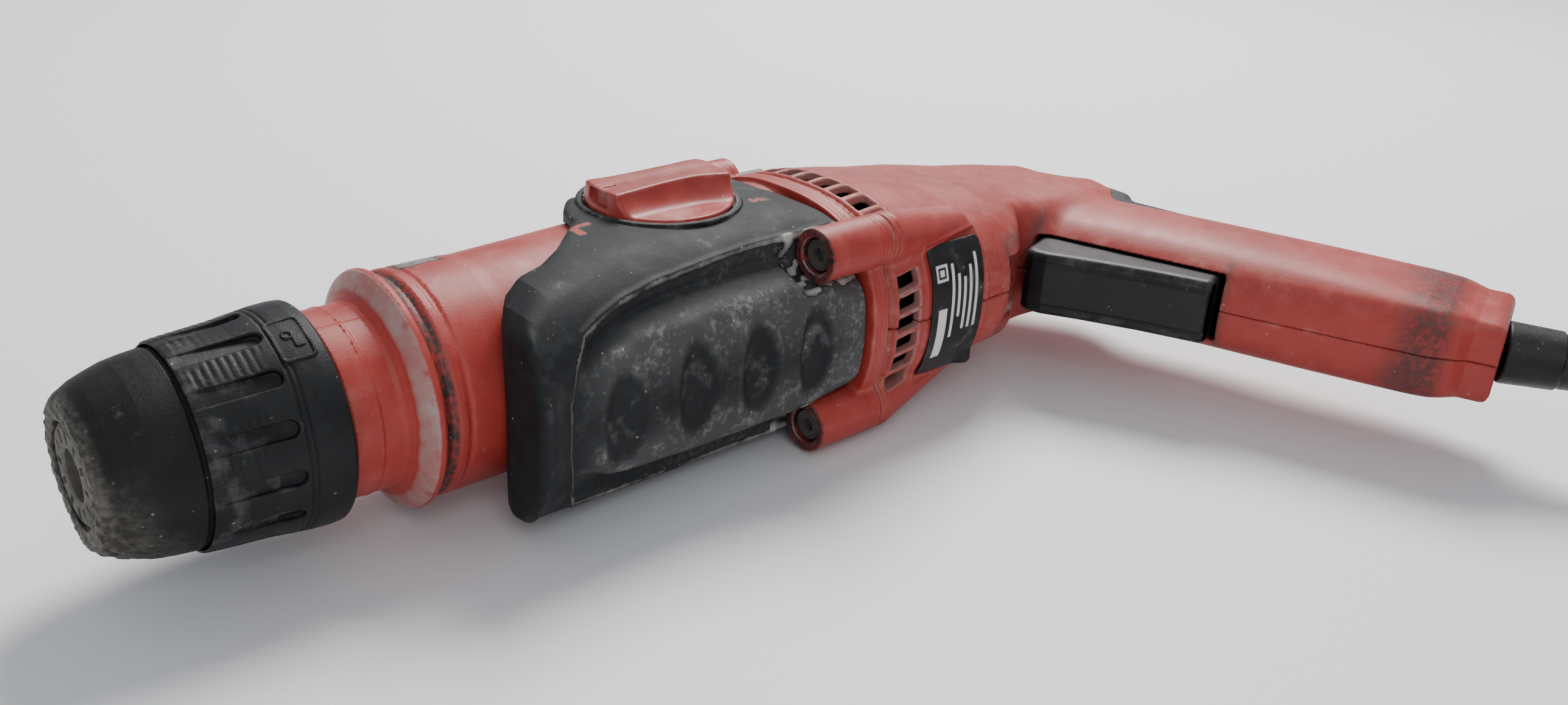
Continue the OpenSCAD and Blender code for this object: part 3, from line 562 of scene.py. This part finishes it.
def smooth_path(points, times):
    """Points along a curve through the given ones."""
    ends = [2 * points[0] - points[1], *points, 2 * points[-1] - points[-2]]
    out = []
    for i in range(1, len(ends) - 2):
        a, b, c, d = ends[i - 1:i + 3]
        for t in np.arange(times) / times:
            out.append(0.5 * (2 * b + (c - a) * t + (2 * a - 5 * b + 4 * c - d) * t ** 2
                              + (3 * b - a - 3 * c + d) * t ** 3))
    return np.array(out + [points[-1]])


def make_lead():
    path = to_row(smooth_path(coil_path(), 3))
    curve = bpy.data.curves.new("lead", "CURVE")
    curve.dimensions = "3D"
    curve.bevel_depth = CORD_R / 1000
    curve.bevel_resolution = 4
    spline = curve.splines.new("POLY")
    spline.points.add(len(path) - 1)
    for point, place in zip(spline.points, path):
        point.co = (*place, 1)
    curve.materials.append(CABLE)
    lead = bpy.data.objects.new("lead", curve)
    bpy.context.collection.objects.link(lead)
    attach(lead, "housing")
    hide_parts("cord_run", "cord_coil")
    return lead, path


def plug_shape(x, y, z):
    """A two-pin plug with a ribbed neck, along x from where the cord enters it."""
    x, y, z = PLUG[0] - x, y - PLUG[1], z - (PLUG[2] + FLOOR)
    r = np.hypot(y, z)
    neck = smax(r - 5.3 - 2.2 * x / 34, np.maximum(-x, x - 36), 0.8)
    for ring in range(4):
        neck = smax(neck, -smax(np.abs(x - 7 - 6 * ring) - 1.2, 4.9 + 0.06 * x - r, 0.4), 0.6)
    grow = step(32, 42, x)
    body = smax(section(z, y, 0, 9 + 4 * grow, 10.5 + 7.5 * grow, 3.2),
                np.maximum(33.2 - x, x - 68), 2.4)
    for ring in range(5):
        body = smax(body, 0.75 - np.hypot(x - 46 - 3.6 * ring, 17.8 - np.abs(y)), 0.5)
    return smin(neck, body, 3)


def relief_shape(x, y, z):
    """The sleeve that guards the cord where it leaves the handle; t runs along it."""
    dx, dy = x - RELIEF_ROOT[0], y - RELIEF_ROOT[1]
    t = dx * math.cos(LEAN) + dy * math.sin(LEAN)
    r = np.hypot(dy * math.cos(LEAN) - dx * math.sin(LEAN), z)
    d = r - (9.4 - 0.042 * t - 0.5 * step(15, 17, t))
    d = smax(d, np.maximum(-t, t - RELIEF_LONG), 1.2)
    d = smax(d, -smax(np.abs(t - 16) - 0.5, 8.0 - r, 0.3), 0.4)
    return smax(d, -smax(r - CORD_R - 0.2, t - RELIEF_LONG - 4, 0.3), 0.3)


def strap_shape(x, y, z):
    """A band round the wound cord, at one place of the coil."""
    turn = math.radians(150)
    dx, dy = x - COIL[0], y - COIL[1]
    out = dx * math.cos(turn) + dy * math.sin(turn)
    side = dy * math.cos(turn) - dx * math.sin(turn)
    ring = np.abs(box2(out - 46.2, z - FLOOR - 17.4, 18.4, 16.4, 5.5)) - 0.7
    return smax(ring, np.abs(side) - 6, 0.5)


lead, lead_path = make_lead()
plug = surface("plug", plug_shape, (174, -346, -37), (248, -304, -5), 0.6, CABLE, "housing",
               ("plug_body",))
strap = surface("coil_strap", strap_shape, (250, -300, -37), (322, -230, 4), 0.7, SOFT, "housing",
                ())
cable_sleeve = surface("cable_sleeve", relief_shape, (335, -226, -11), (381, -159, 11), 0.5, CABLE,
                       "housing", ("strain_relief",))

# ---------------------------------------------------------------- chuck
SLEEVE = [(0.35, 12.6), (0, 13.3), (0, 16.2), (0.6, 17.4), (2, 18.7), (5, 20.4), (8.5, 21.7),
          (12, 22.8), (16, 23.45), (20.2, 23.9), (20.6, 23.6), (26, 23.6), (26, 21.6), (18, 21.6),
          (13, 19), (13, 9.65), (9, 9.65), (9, 12.6)]
RING_SIDE = [(21.3, 24.35), (21.3, 24.9), (22.2, 25.4), (29, 25.8), (36, 26.3), (41, 27),
             (46, 27.6), (50, 27.8), (52.4, 27.7), (53.2, 27), (53.3, 26.2), (53.3, 18.5),
             (35, 18.5), (35, 24.35)]
CAP = [(0.8, 6.2), (0.4, 7), (0.4, 11), (1.2, 12.1), (8, 12.1), (8, 8.8), (3, 8.8), (3, 6.2)]
GROOVES = 14
FIRST_GROOVE = 132.8
RING_R = 27.6
BADGE_AT = 114.3


def degrees(y, z):
    return np.degrees(np.arctan2(z, y))


def arc(y, z, at, r):
    """How far round the drill axis a point is from that angle, as a length at radius r."""
    return np.radians((degrees(y, z) - at + 180) % 360 - 180) * r


def sleeve_shape(x, y, z):
    """The black front sleeve, pitted where it is scuffed."""
    pits = noise(x, y * 0.6, z, 1.5) + 0.5 * noise(x, y, z, 0.8) - 0.75
    return turned(x, y, z, SLEEVE) + 0.75 * pits * sleeve_marks(x, y, z)


def sleeve_marks(x, y, z):
    """Rubbed round the front edge, and farther back underneath."""
    lower = (-0.5 * y - 0.87 * z) / np.maximum(np.hypot(y, z), 1)
    front = 0.8 * step(3.2, 0.5, x) + 0.55 * step(13, 3, x) * step(0.0, 0.8, lower)
    return np.clip(front + 0.35 * step(0.7, 1.0, lower) * step(19, 14, x), 0, 1) * step(20, 18, x)


def cap_shape(x, y, z):
    """The hard face round the bore, with twelve small pockets."""
    r = np.hypot(y, z)
    ring = turned(x, y, z, CAP)
    sector = np.radians((degrees(y, z) + 15) % 30 - 15)
    pocket = smax(box2(r * np.cos(sector) - 9.2, r * np.sin(sector), 1.6, 0.8, 0.3), x - 1.8, 0.2)
    return smax(ring, -pocket, 0.35)


def ring_shape(x, y, z):
    """The release ring: round-ended grooves, ribbed lands, two rings and a framed lock picture."""
    r = np.hypot(y, z)
    d = turned(x, y, z, RING_SIDE)
    pitch = 360 / GROOVES
    offset = np.radians((degrees(y, z) - FIRST_GROOVE + pitch / 2) % pitch - pitch / 2) * 26
    side = np.interp(x, [21, 29, 36, 41, 46, 50, 53], [25, 25.8, 26.3, 27, RING_R, 27.8, RING_R])
    v = arc(y, z, BADGE_AT, RING_R)
    badge = box2(x - 46.6, v, 3.7, 6.2, 1.2)
    land = step(2.3, 3.1, np.abs(offset)) * step(22.6, 23.4, x) * step(40.6, 39.8, x)
    worn = step(0.3, 0.6, noise(x, y, z, 5))
    ribs = 0.13 * np.cos((x - 23.4) * 2 * np.pi / 1.9) * land * worn
    rings = 0.4 * (bell(x - 42.6, 0.35) + bell(x - 44, 0.35)) * step(-0.4, 0.3, badge)
    d = smax(d, r - side - ribs + rings, 0.25)
    groove = np.where(x < 39.4, np.abs(offset), np.hypot(offset, x - 39.4)) - 2.05
    slot = np.maximum(smax(groove, side - 1.75 - r, 0.5), 24.9 - r)
    d = smax(d, -slot, 0.5)
    rim = smax(np.abs(badge) - 0.35, np.abs(r - side) - 0.32, 0.2)
    d = smin(d, rim, 0.25)
    shackle = np.abs(np.hypot(x - 46.2, v + 0.9) - 1.05) - 0.3
    lock = np.minimum(box2(x - 47.9, v - 1.6, 1.1, 1.5, 0.2), shackle)
    return smin(d, smax(lock, np.abs(r - side) - 0.3, 0.15), 0.2)


surface("front_sleeve", sleeve_shape, (-1, -25, -25), (27, 25, 25), 0.45, RUBBER, "bit_sleeve",
        ("bit_sleeve",), sleeve_marks, edge=0.8)
surface("nose_cap", cap_shape, (-1, -13, -13), (9, 13, 13), 0.3, NOSE, "bit_sleeve", ("dust_cap",),
        edge=0.6)
surface("grip_ring", ring_shape, (20, -29, -29), (54, 29, 29), 0.36, RING, "release_ring",
        ("release_ring",), edge=0.6)

# ---------------------------------------------------------------- gear housing and its cover
KNOB = (159.0, 0.0)
SEAT_Z = 34.4
DROP = 28.0
CASE_REAR = 204
BOSSES = [(-42, -26), (-42, 26), (24, -25.5), (24, 25.5)]
CASE = [(54.2, 0), (54.2, 23.0), (55, 23.75), (60.4, 23.8), (60.7, 24.0), (61.2, 24.0),
        (61.5, 23.8), (66, 23.8), (67.3, 24.2), (68.5, 25.6), (69.6, 27.5), (70.6, 29.2),
        (71.6, 30.6), (72.4, 31), (73.4, 31), (74.2, 30.3), (75, 29.2), (76.5, 28.6), (77.6, 29.2),
        (78.6, 29.7), (80, 29.7), (80.8, 29.3), (81.6, 29.3), (82.4, 29.7), (95, 29.7), (99, 29.4),
        (118, 30.1), (139, 31), (170, 31.5), (204, 32), (204, 0)]
CASE_HOLLOW = [(50, 70, 15.6), (55.5, 62, 21.5), (62, 66, 18), (66, 76, 21.5), (76, 106, 24.5),
               (104, 136, 27.5), (136, 210, 29.5)]
COVER_SIDE = [(88.5, -60), (88.5, -33), (91.5, -27), (95.7, -21.8), (101.7, -18.9), (108, -17.8),
              (116, -13), (123, -6.5), (129.5, -0.5), (133, 9), (141, 20), (150, 24.5), (188, 26.5),
              (194, 12), (197.2, -10), (197.5, -60)]
COVER_PLAN = [(88, -26), (93, -30), (100, -33), (115, -34.3), (135, -36), (200, -36), (200, 31.5),
              (190, 33), (181, 35), (135, 35), (115, 33), (100, 30.5), (93, 27), (88, 22)]
COVER_INSIDE = [(80, 0), (80, 30.6), (99, 30.6), (139, 31.2), (CASE_REAR, 32.2), (210, 32.2),
                (210, 0)]
CREASE = [(205, 33), (185, 32.3), (163.4, 32.3), (145.7, 30.7), (129.6, 29), (118.2, 26.6),
          (110.7, 24), (104.6, 21.2), (100, 14.6), (96.8, 6.8), (96.4, -5.4), (99.3, -19.2),
          (104, -28)]
DIMPLES = [(113.2, -1.6, 0.8), (135.8, 0.4, 1.1), (156.9, -0.1, 1.2), (177.4, -0.1, 1.15)]


def bosses(x, y, z, x0, x1, r):
    """A rod of radius r at each corner screw."""
    return np.minimum.reduce([rod(x, y, z, x0, x1, r, cy, cz) for cy, cz in BOSSES])


def case_shape(x, y, z):
    """Turned round the drill axis, with the lobe of the lower shaft, the rear flange and its
    bosses and the seat of the knob, hollowed for what it holds."""
    d = smin(turned(x, y, z, CASE), rod(x, y, z, 96, CASE_REAR, 17.2, -DROP, k=2), 3)
    double = bell(x - 199.7, 0.35) + bell(x - 201.4, 0.35)
    flange = smax(section(y, z, -8, 41.7, 33.7, 2.5) + 0.2 * double, np.abs(x - 200.9) - 3, 0.6)
    d = smin(d, flange, 1)
    d = smin(d, bosses(x, y, z, 180, 203.9, 7.6) + 0.2 * double, 1.2)
    seat = smax(np.hypot(x - KNOB[0], y) - 17, np.maximum(20 - z, z - 33.4), 0.5)
    d = smin(d, seat, 0.5)
    mould_line = bell(y + 6, 0.35) * step(-2, 2, z)
    d = d - np.where(x < 72, 0.16 * mould_line, 0)
    hollow = [rod(x, y, z, x0, x1, r) for x0, x1, r in CASE_HOLLOW]
    hollow += [rod(x, y, z, 98, 104.2, 8, -DROP), rod(x, y, z, 104, 210, 15.6, -DROP),
               bosses(x, y, z, 179, 185, 5.2), bosses(x, y, z, 179, 210, 2.3),
               np.maximum(np.hypot(x - KNOB[0], y) - 14.05, 10 - z)]
    return smax(d, -np.minimum.reduce(hollow), 0.4)


def case_marks(x, y, z):
    """Painted shade in the groove behind the collar and round the screws, a worn patch, chalky
    edges.
    """
    grit = noise(x, y, z, 3)
    front = step(68.4, 69.4, x) * step(72.6, 71.8, x) * step(-0.2, 0.4, grit)
    # Painted shade: the groove behind the collar is made near-black.
    valley = step(73.6, 74.6, x) * step(78.4, 77.4, x)
    patch = box2(x - 88, arc(y, z, 62, 30), 6.5, 12, 3) + 5 * (grit - 0.5)
    screw = np.minimum.reduce([np.hypot(y - cy, z - cz) for cy, cz in BOSSES])
    # Painted shade: the boss fronts and the screw recesses are made near-black.
    near_boss = step(180.9, 180.2, x) * step(179, 179.6, x)
    near_boss = near_boss + step(185, 184, x) * step(5.6, 5.1, screw) * step(179, 180, x)
    dark = np.maximum.reduce([0.95 * valley, near_boss, 1.6 * step(1, -1, patch)])
    return np.where(dark > 0.3, dark,
                    -0.5 * front - 0.45 * bell(x - 203.9, 0.5) * step(198, 200, x))


def cover_zones(x, y, z):
    """How far round the cover a point is from its bottom line, how far inside the crease, and how
    far down the scoop below the crease, from 0 to 1."""
    turn = 40 * np.arctan2(z, -(y + 5))
    inside = -outline(x, turn, [*CREASE, (205, -33)])
    crease_x, crease_turn = zip(*reversed(CREASE[:8]))
    upper = np.interp(x, crease_x, crease_turn)
    lower = np.interp(x, [104, 119, 139, 156, 174, 198], [14, 19.4, 21.2, 21.6, 21.9, 17.5])
    return turn, inside, (upper - np.abs(turn)) / (upper - lower)


def cover_shape(x, y, z):
    """The black cover: an oval section cut to its side and top outlines, with a lip, a scoop with
    four finger dimples, and room for the case, the bosses and the knob."""
    turn, inside, down = cover_zones(x, y, z)
    side = outline(x, y, COVER_SIDE)
    d = section(y, z, -4, 44.5, 35.7, 2.45)
    scoop = np.interp(x, [98, 108, 150, 190], [0.3, 1.8, 3.2, 4.4])
    scoop = scoop * step(0, 0.45, down) * step(1.5, 0.5, down)
    d = d + 0.5 * step(0, 0.9, inside) + scoop * step(0, 4, inside) - 0.35 * bell(inside + 0.5, 0.8)
    for cx, cv, deep in DIMPLES:
        dimple = np.hypot((x - cx) / 6.6, (turn - cv) / 13.5)
        d = d + 1.3 * deep * step(1.0, 0.45, dimple) - 0.5 * bell(dimple - 1.15, 0.2)
    lip = bell(side + 2.2, 1.7) * step(134, 126, x)
    d = d - 0.7 * lip * step(-0.3, 1.5, 36 - np.abs(z))
    d = smax(d, side, 2.2)
    d = smax(d, outline(x, z, COVER_PLAN), 2.4)
    d = smax(d, np.maximum(z - SEAT_Z, -34.9 - z), 1.2)
    rim = np.hypot(x - KNOB[0], y)
    inner = np.minimum.reduce([
        turned(x, y, z, COVER_INSIDE), rod(x, y, z, 95.4, 210, 17.4, -DROP),
        np.maximum(rim - 21.2, 33.6 - z), np.maximum(rim - 17.3, 20 - z),
        bosses(x, y, z, 174, 210, 8.5)])
    d = smax(d, -inner, 0.6)
    collar = smax(np.abs(rim - 22.4) - 0.9, np.abs(z - 34.4) - 0.55, 0.5)
    return smin(d, smax(collar, side + 1, 0.5), 0.4)


def icons(x, y):
    """Plain pictures beside the knob: a hammer, and a drill bit twice."""
    marks = [box2(x - 127, y + 5.4, 4.6, 0.9, 0.3), box2(x - 126, y + 8.2, 0.9, 3, 0.3)]
    for cx, cy in ((164, -30), (185, -14.5)):
        marks += [box2(x - cx - 0.4, y - cy, 5.2, 0.5, 0.2)]
        marks += [box2(x - cx - 2.6 * i, y - cy, 0.75, 1.3, 0.3) for i in (-1.5, -0.5, 0.5, 1.5)]
    return np.minimum.reduce(marks)


def cover_marks(x, y, z):
    """Chalk on the ridge, round the lower screws and the knob; a worn scoop; the pictures."""
    turn, inside, down = cover_zones(x, y, z)
    ridge = bell(inside - 0.3, 0.7) * (0.55 + 0.4 * step(140, 180, x))
    worn = 0.5 * step(0, 0.3, down) * step(1.0, 0.6, down) * step(110, 185, x)
    hollow = np.minimum.reduce([np.hypot((x - cx) / 6.4, (turn - cv) / 13)
                                for cx, cv, _ in DIMPLES])
    between = step(0.8, 1.15, hollow) * step(98, 112, x)
    worn = worn + 0.85 * step(0.9, 1.3, down) * step(3.4, 1.6, down) * between
    grit = step(0.35, 0.7, noise(x, y, z, 2.5))
    screw = bell(np.hypot(y + 42, np.abs(z) - 26) - 9, 1.3) * step(172, 178, x) * grit
    rim = bell(np.hypot(x - KNOB[0], y) - 21.6, 0.7) * step(30, 33, z) * step(8, -8, y)
    printed = 2.4 * step(0.3, 0.0, icons(x, y)) * step(33.4, 34, z)
    chalk = np.clip(0.55 * ridge + 0.75 * screw + 0.45 * rim, 0, 1)
    return np.where(printed > 0.4, printed, np.where(chalk > 0.15, -chalk, worn))


def bar_shape(x, y, z):
    """The knob: a waisted bar on a disc, over a stem with a seal groove; u runs along the bar."""
    dx, dy = x - KNOB[0], y
    turn = math.radians(-4)
    u = dx * math.cos(turn) + dy * math.sin(turn)
    v = dy * math.cos(turn) - dx * math.sin(turn)
    rise = np.clip((z - 34.2) / 7.8, 0, 1)
    half = 6.6 + 0.0036 * (u - 2) ** 2 + 0.9 * step(6, 16, u) + 6.5 * (1 - rise) ** 2.6
    d = smax(np.abs(v) - half, -u - 19.6 - 0.8 * (1 - rise), 0.8)
    d = smax(d, u - 19.8 - 0.8 * (1 - rise), 3)
    d = smax(d, np.hypot(dx, dy) - 20.9, 1.5)
    crown = 40.9 + 1.1 * step(-20, 9, u) - 0.004 * np.maximum(u - 9, 0) ** 2 - 0.25 * bell(v, 3)
    d = smax(d, np.maximum(z - crown, 33.9 - z), 0.9)
    mouth = box3(u, v, z, (-20.6, 0, 38), (2.4, 4.6, 2.1), 0.6)
    d = smax(d, -mouth, 0.4)
    disc = smax(np.hypot(dx, dy) - 20.5, np.maximum(33.9 - z, z - 35.3), 0.6)
    stem = smax(np.hypot(dx, dy) - 14, np.maximum(30.5 - z, z - 35), 0.3)
    stem = smax(stem, 1.15 - np.hypot(np.hypot(dx, dy) - 14, z - 32), 0.2)
    arrow = smax(box2(u + 16.2, v, 1.9, 0.42, 0.2), np.abs(z - crown) - 0.4, 0.2)
    return np.minimum(smax(smin(d, disc, 0.8), -arrow, 0.2), stem)


surface("gear_case", case_shape, (53, -52, -36), (205, 36, 36), 0.62, RED, "housing",
        ("gear_housing",), case_marks)
surface("side_cover", cover_shape, (87, -50, -36.5), (199, 31, 37.5), 0.6, GRIP, "housing",
        ("grip_cover",), cover_marks)
surface("mode_knob", bar_shape, (137, -22, 29.5), (181, 22, 43), 0.42, RED_KNOB, "selector_knob",
        ("selector_knob",), edge=0.8)

# ---------------------------------------------------------------- rear housing
RAKE = math.radians(17)
HANDLE_ROOT = (308, -41)
WALL = 2.5
MOTOR_Y = -DROP + 0.35 * 47
BODY_SIDE = [(204, -62), (258, -62), (266, -47.5), (275, -37), (333, -37), (334, -26), (329, -8),
             (318, 6), (300, 18), (272, 28.5), (240, 40), (204, 40)]
BODY_HALF = [(204, 33.5), (214, 33.6), (230, 31.5), (246, 28.8), (262, 27.1), (282, 23.8),
             (300, 22), (316, 20.9), (333, 18.6), (340, 17)]
HANDLE_SIDE = [(-26, -22), (23, -16), (24, 10), (25, 50), (24.4, 100), (23, 112), (19.6, 119),
               (17.6, 122), (17.4, 130), (-17, 130), (-17.4, 122), (-19.4, 119), (-22, 112),
               (-24.6, 60), (-26, 20)]
HANDLE_HALF = [(-30, 18), (40, 18.4), (80, 17.4), (108, 15.8), (114, 14.8), (119, 13.2),
               (122, 12.6), (131, 12.6)]
VENT_X = 212.4
TRIGGER_SIDE = [(-33.5, -8), (-18, -8), (-18, 50.6), (-27.8, 50.6), (-29.6, 49), (-31.6, 30),
                (-34.8, 12), (-37.6, 0), (-37.4, -4.5), (-36, -7)]
SIDE_VENTS = [10.6, 3.0, -4.5, -12.0, -19.5, -27.0, -34.2]
UNDER_VENTS = [13.4, 7.2, 1.1, -5.2, -11.4, -18.0]
SCREWS = [(268, -38, -15.5), (297, 4, -18.5), (333, -122, -14.5), (262, 22, -16.5)]
SPINE = [(300, 18), (318, 6), (329, -8), (334, -26), (333.4, -35), (334.0, -43.5), (346.5, -81.5),
         (355, -110.3)]


def in_handle(x, y):
    """Across the handle from front to back, and down it."""
    dx, dy = x - HANDLE_ROOT[0], y - HANDLE_ROOT[1]
    across = dx * math.cos(RAKE) + dy * math.sin(RAKE)
    return across, dx * math.sin(RAKE) - dy * math.cos(RAKE)


def rear_outside(x, y, z):
    """The motor housing, narrower over its shoulder, melted into the handle."""
    half = np.interp(x, *zip(*BODY_HALF))
    pull = step(-26, -8, y) * np.interp(x, [300, 316, 326, 336], [0, 0.05, 0.22, 0.45])
    half = half * (1 - pull)
    tall = np.interp(x, [204, 250, 272, 300, 318, 329], [42, 41.6, 38, 28.5, 18, 12])
    tall = np.where(y > -8, tall, 42)
    body = smax(section(y, z, -8, tall, half, 2.5), outline(x, y, BODY_SIDE), 5)
    a, s = in_handle(x, y)
    width = np.interp(s, *zip(*HANDLE_HALF))
    handle = section(a, z, 0, 26.5, 18.6, 2.1)
    handle = smax(smax(handle, np.abs(z) - width, 3), outline(a, s, HANDLE_SIDE), 4)
    return smin(body, handle, 7), a, s


def vent_openings(x, y, z):
    """The slanted slots in the sides, and those underneath."""
    u = x - VENT_X

    def row(across, places, half):
        return np.minimum.reduce([box2(u, across - c - 0.12 * u, 4.3, half, 0.4) for c in places])

    return (np.maximum(row(y, SIDE_VENTS, 2.7), 24 - np.abs(z)),
            np.maximum(row(z, UNDER_VENTS, 2.35), y + 38))


def rear_shape(x, y, z, side):
    """One shell of the rear housing, left of the middle plane for side 1, right of it for -1."""
    outer, a, s = rear_outside(x, y, z)
    fade = np.maximum(x - 208, 0)
    for cy, cz in BOSSES[:2]:
        inward = math.copysign(0.14, cz) * fade
        fairing = np.hypot(y - cy - 0.14 * fade, z - cz + inward) - 7.6 + 0.075 * fade
        outer = smin(outer, smax(fairing, np.maximum(204 - x, x - 246), 2), 2.5)
    outer = smax(outer, 204.15 - x, 0.7)
    vents, under = vent_openings(x, y, z)
    lips = bell(np.minimum(vents, under) - 1.0, 0.8)
    label_frame = outline(x, z, [(220.4, -22), (246.4, -22), (246.4, 21.8), (220.4, 21.8)])
    frame_lip = bell(label_frame - 0.4, 0.6) * step(-34, -40, y)
    groove = np.abs(np.hypot(x - 262, y - 34) - 18)
    line = bell(groove, 0.5) * step(0, 8, z) * step(250, 256, x) * step(286, 276, x)
    seam = bell(z, 0.45) * (1 - step(26, 28, s) * step(-20, -24, a))
    outside = outer - 0.12 * lips - 0.45 * frame_lip + 0.4 * line + 0.5 * seam
    outside = outside + 0.35 * bell(x - 206.2, 0.4)
    notch = smax(box2(x - 246, z, 5, 1.3, 0.5), 31 - y, 0.3)
    outside = smax(outside, -notch, 0.4)
    posts = np.minimum.reduce([np.hypot(x - cx, y - cy) - 3.8 for cx, cy, _ in SCREWS])
    ribs = np.minimum.reduce([np.abs(x - c) - 1 for c in (230, 247, 285)])
    motor = np.hypot(y - MOTOR_Y, z)
    room = np.minimum.reduce([np.maximum(motor - 29.3, x - 270), np.maximum(motor - 20.2, 270 - x),
                              box3(x, y, z, (285, -52, 0), (15, 18, 30), 0.5)])
    ribs = np.maximum(np.maximum(ribs, -room), y + 56)
    walls = np.minimum.reduce([-(outer + WALL), posts, ribs, bosses(x, y, z, 200, 222, 7.2)])
    d = smax(outside, walls, 0.4)
    holes = [np.maximum(np.hypot(x - cx, y - cy) - 3.25, z - cz - 2) for cx, cy, cz in SCREWS]
    holes += [np.maximum(np.hypot(x - cx, y - cy) - 1.7, z - 8) for cx, cy, _ in SCREWS]
    pocket = box3(a, s, z, (-33, 21.5, 0), (17, 30.7, 11.1), 1.5)
    cord_way = np.maximum(np.hypot(a, z) - 10.1, 112 - s)
    opening = np.minimum.reduce([*holes, vents, under, pocket, cord_way,
                                 bosses(x, y, z, 200, 219, 2.3)])
    strip = np.maximum(strip_zone(x, y, z) - 0.15, -1.35 - outer)
    d = smax(smax(d, -opening, 0.5), -strip, 0.3)
    return smax(d, 0.02 - side * z, 0.3)


def rear_marks(x, y, z):
    """A dark stain near the end of the handle, darker round the trigger pocket, chalk on the vents.
    """
    a, s = in_handle(x, y)
    stain = 0.7 * step(98, 108, s + 6 * (noise(x, y, z, 9) - 0.5)) * step(119, 113, s)
    # Darker on the walls and rim of the trigger pocket.
    rim = 0.55 * bell(box2(a + 33, s - 21.5, 17, 30.7, 2), 1.6) * step(-15, -20, a)
    vents, under = vent_openings(x, y, z)
    lips = bell(np.minimum(vents, under) - 0.1, 0.55)
    chalk = np.maximum(0.5 * bell(x - 204, 0.6), 0.42 * lips)
    return np.where(chalk > 0.15, -chalk, np.clip(stain + rim, 0, 1))


def strip_zone(x, y, z):
    """Inside the soft strip down the spine and the back of the handle."""
    wide = np.interp(y, [-112, -90, -60, -40, -20, 0, 18], [4, 9, 14.5, 16, 15.5, 12, 8])
    return np.maximum(polyline(x, y, SPINE) - 15, np.abs(z) - wide)


def strip_shape(x, y, z):
    """The soft strip, a little proud of the shells."""
    outer = rear_outside(x, y, z)[0]
    proud = np.interp(y, [-112, -70, -30, 18], [0.5, 1.5, 1.9, 1.0])
    return smax(smax(outer - proud, -1.2 - outer, 0.2), strip_zone(x, y, z), 1.6)


def trigger_shape(x, y, z):
    """The long paddle with a framed face, and the stub its spring pushes on."""
    a, s = in_handle(x, y)
    d = smax(outline(a, s, TRIGGER_SIDE), np.abs(z) - 10.4, 2.6)
    d = d + 0.4 * bell(box2(a + 33, z, 30, 7.2, 2), 0.6) * step(-26, -29, a)
    return smin(d, rod(a, s, z, -18.5, -2.5, 3, 22), 0.5)


def label_shape(x, y, z):
    """A thin plate bent round the underside, with one corner curling up."""
    skin = section(y, z, -8, 42, 34, 2.5)
    curl = 1.6 * step(6, 0, np.hypot(x - 244, z + 21))
    d = smax(np.abs(skin - 0.32 - curl) - 0.16, box2(x - 233, z + 0.1, 11.4, 20.9, 1.5), 0.15)
    return np.maximum(d, y + 35)


def label_marks(x, y, z):
    """Plain bars and a double square, where a rating plate has its print."""
    bars = [box2(x - 241 + 2.6 * i, z - 5 + 1.5 * (i % 3), 0.55, 11.5 - 1.6 * (i % 4), 0.2)
            for i in range(5)]
    square = np.maximum(box2(x - 226, z - 13, 2.4, 2.4, 0.2), -box2(x - 226, z - 13, 1.7, 1.7, 0.2))
    bars += [np.minimum(square, box2(x - 226, z - 13, 0.9, 0.9, 0.1)),
             box2(x - 226.3, z + 6, 1.8, 8, 0.3)]
    return 1.1 * step(0.2, -0.2, np.minimum.reduce(bars))


surface("rear_shell_left", lambda x, y, z: rear_shape(x, y, z, 1), (203, -176, -1), (358, 36, 36),
        0.68, RED, "housing", ("housing_left",), rear_marks)
surface("rear_shell_right", lambda x, y, z: rear_shape(x, y, z, -1), (203, -176, -36), (358, 36, 1),
        0.68, RED, "housing", ("housing_right",), rear_marks)
surface("spine_strip", strip_shape, (284, -128, -18), (362, 34, 18), 0.6, SOFT, "housing",
        ("back_strip",), edge=0.7)
surface("type_label", label_shape, (220, -53, -23), (246, -34, 22), 0.2, LABEL, "housing",
        ("rating_label",), label_marks, edge=0.4)
surface("trigger_paddle", trigger_shape, (256, -97, -11.5), (312, -28, 11.5), 0.45, TRIGGER,
        "trigger", ("trigger",), edge=1.2)
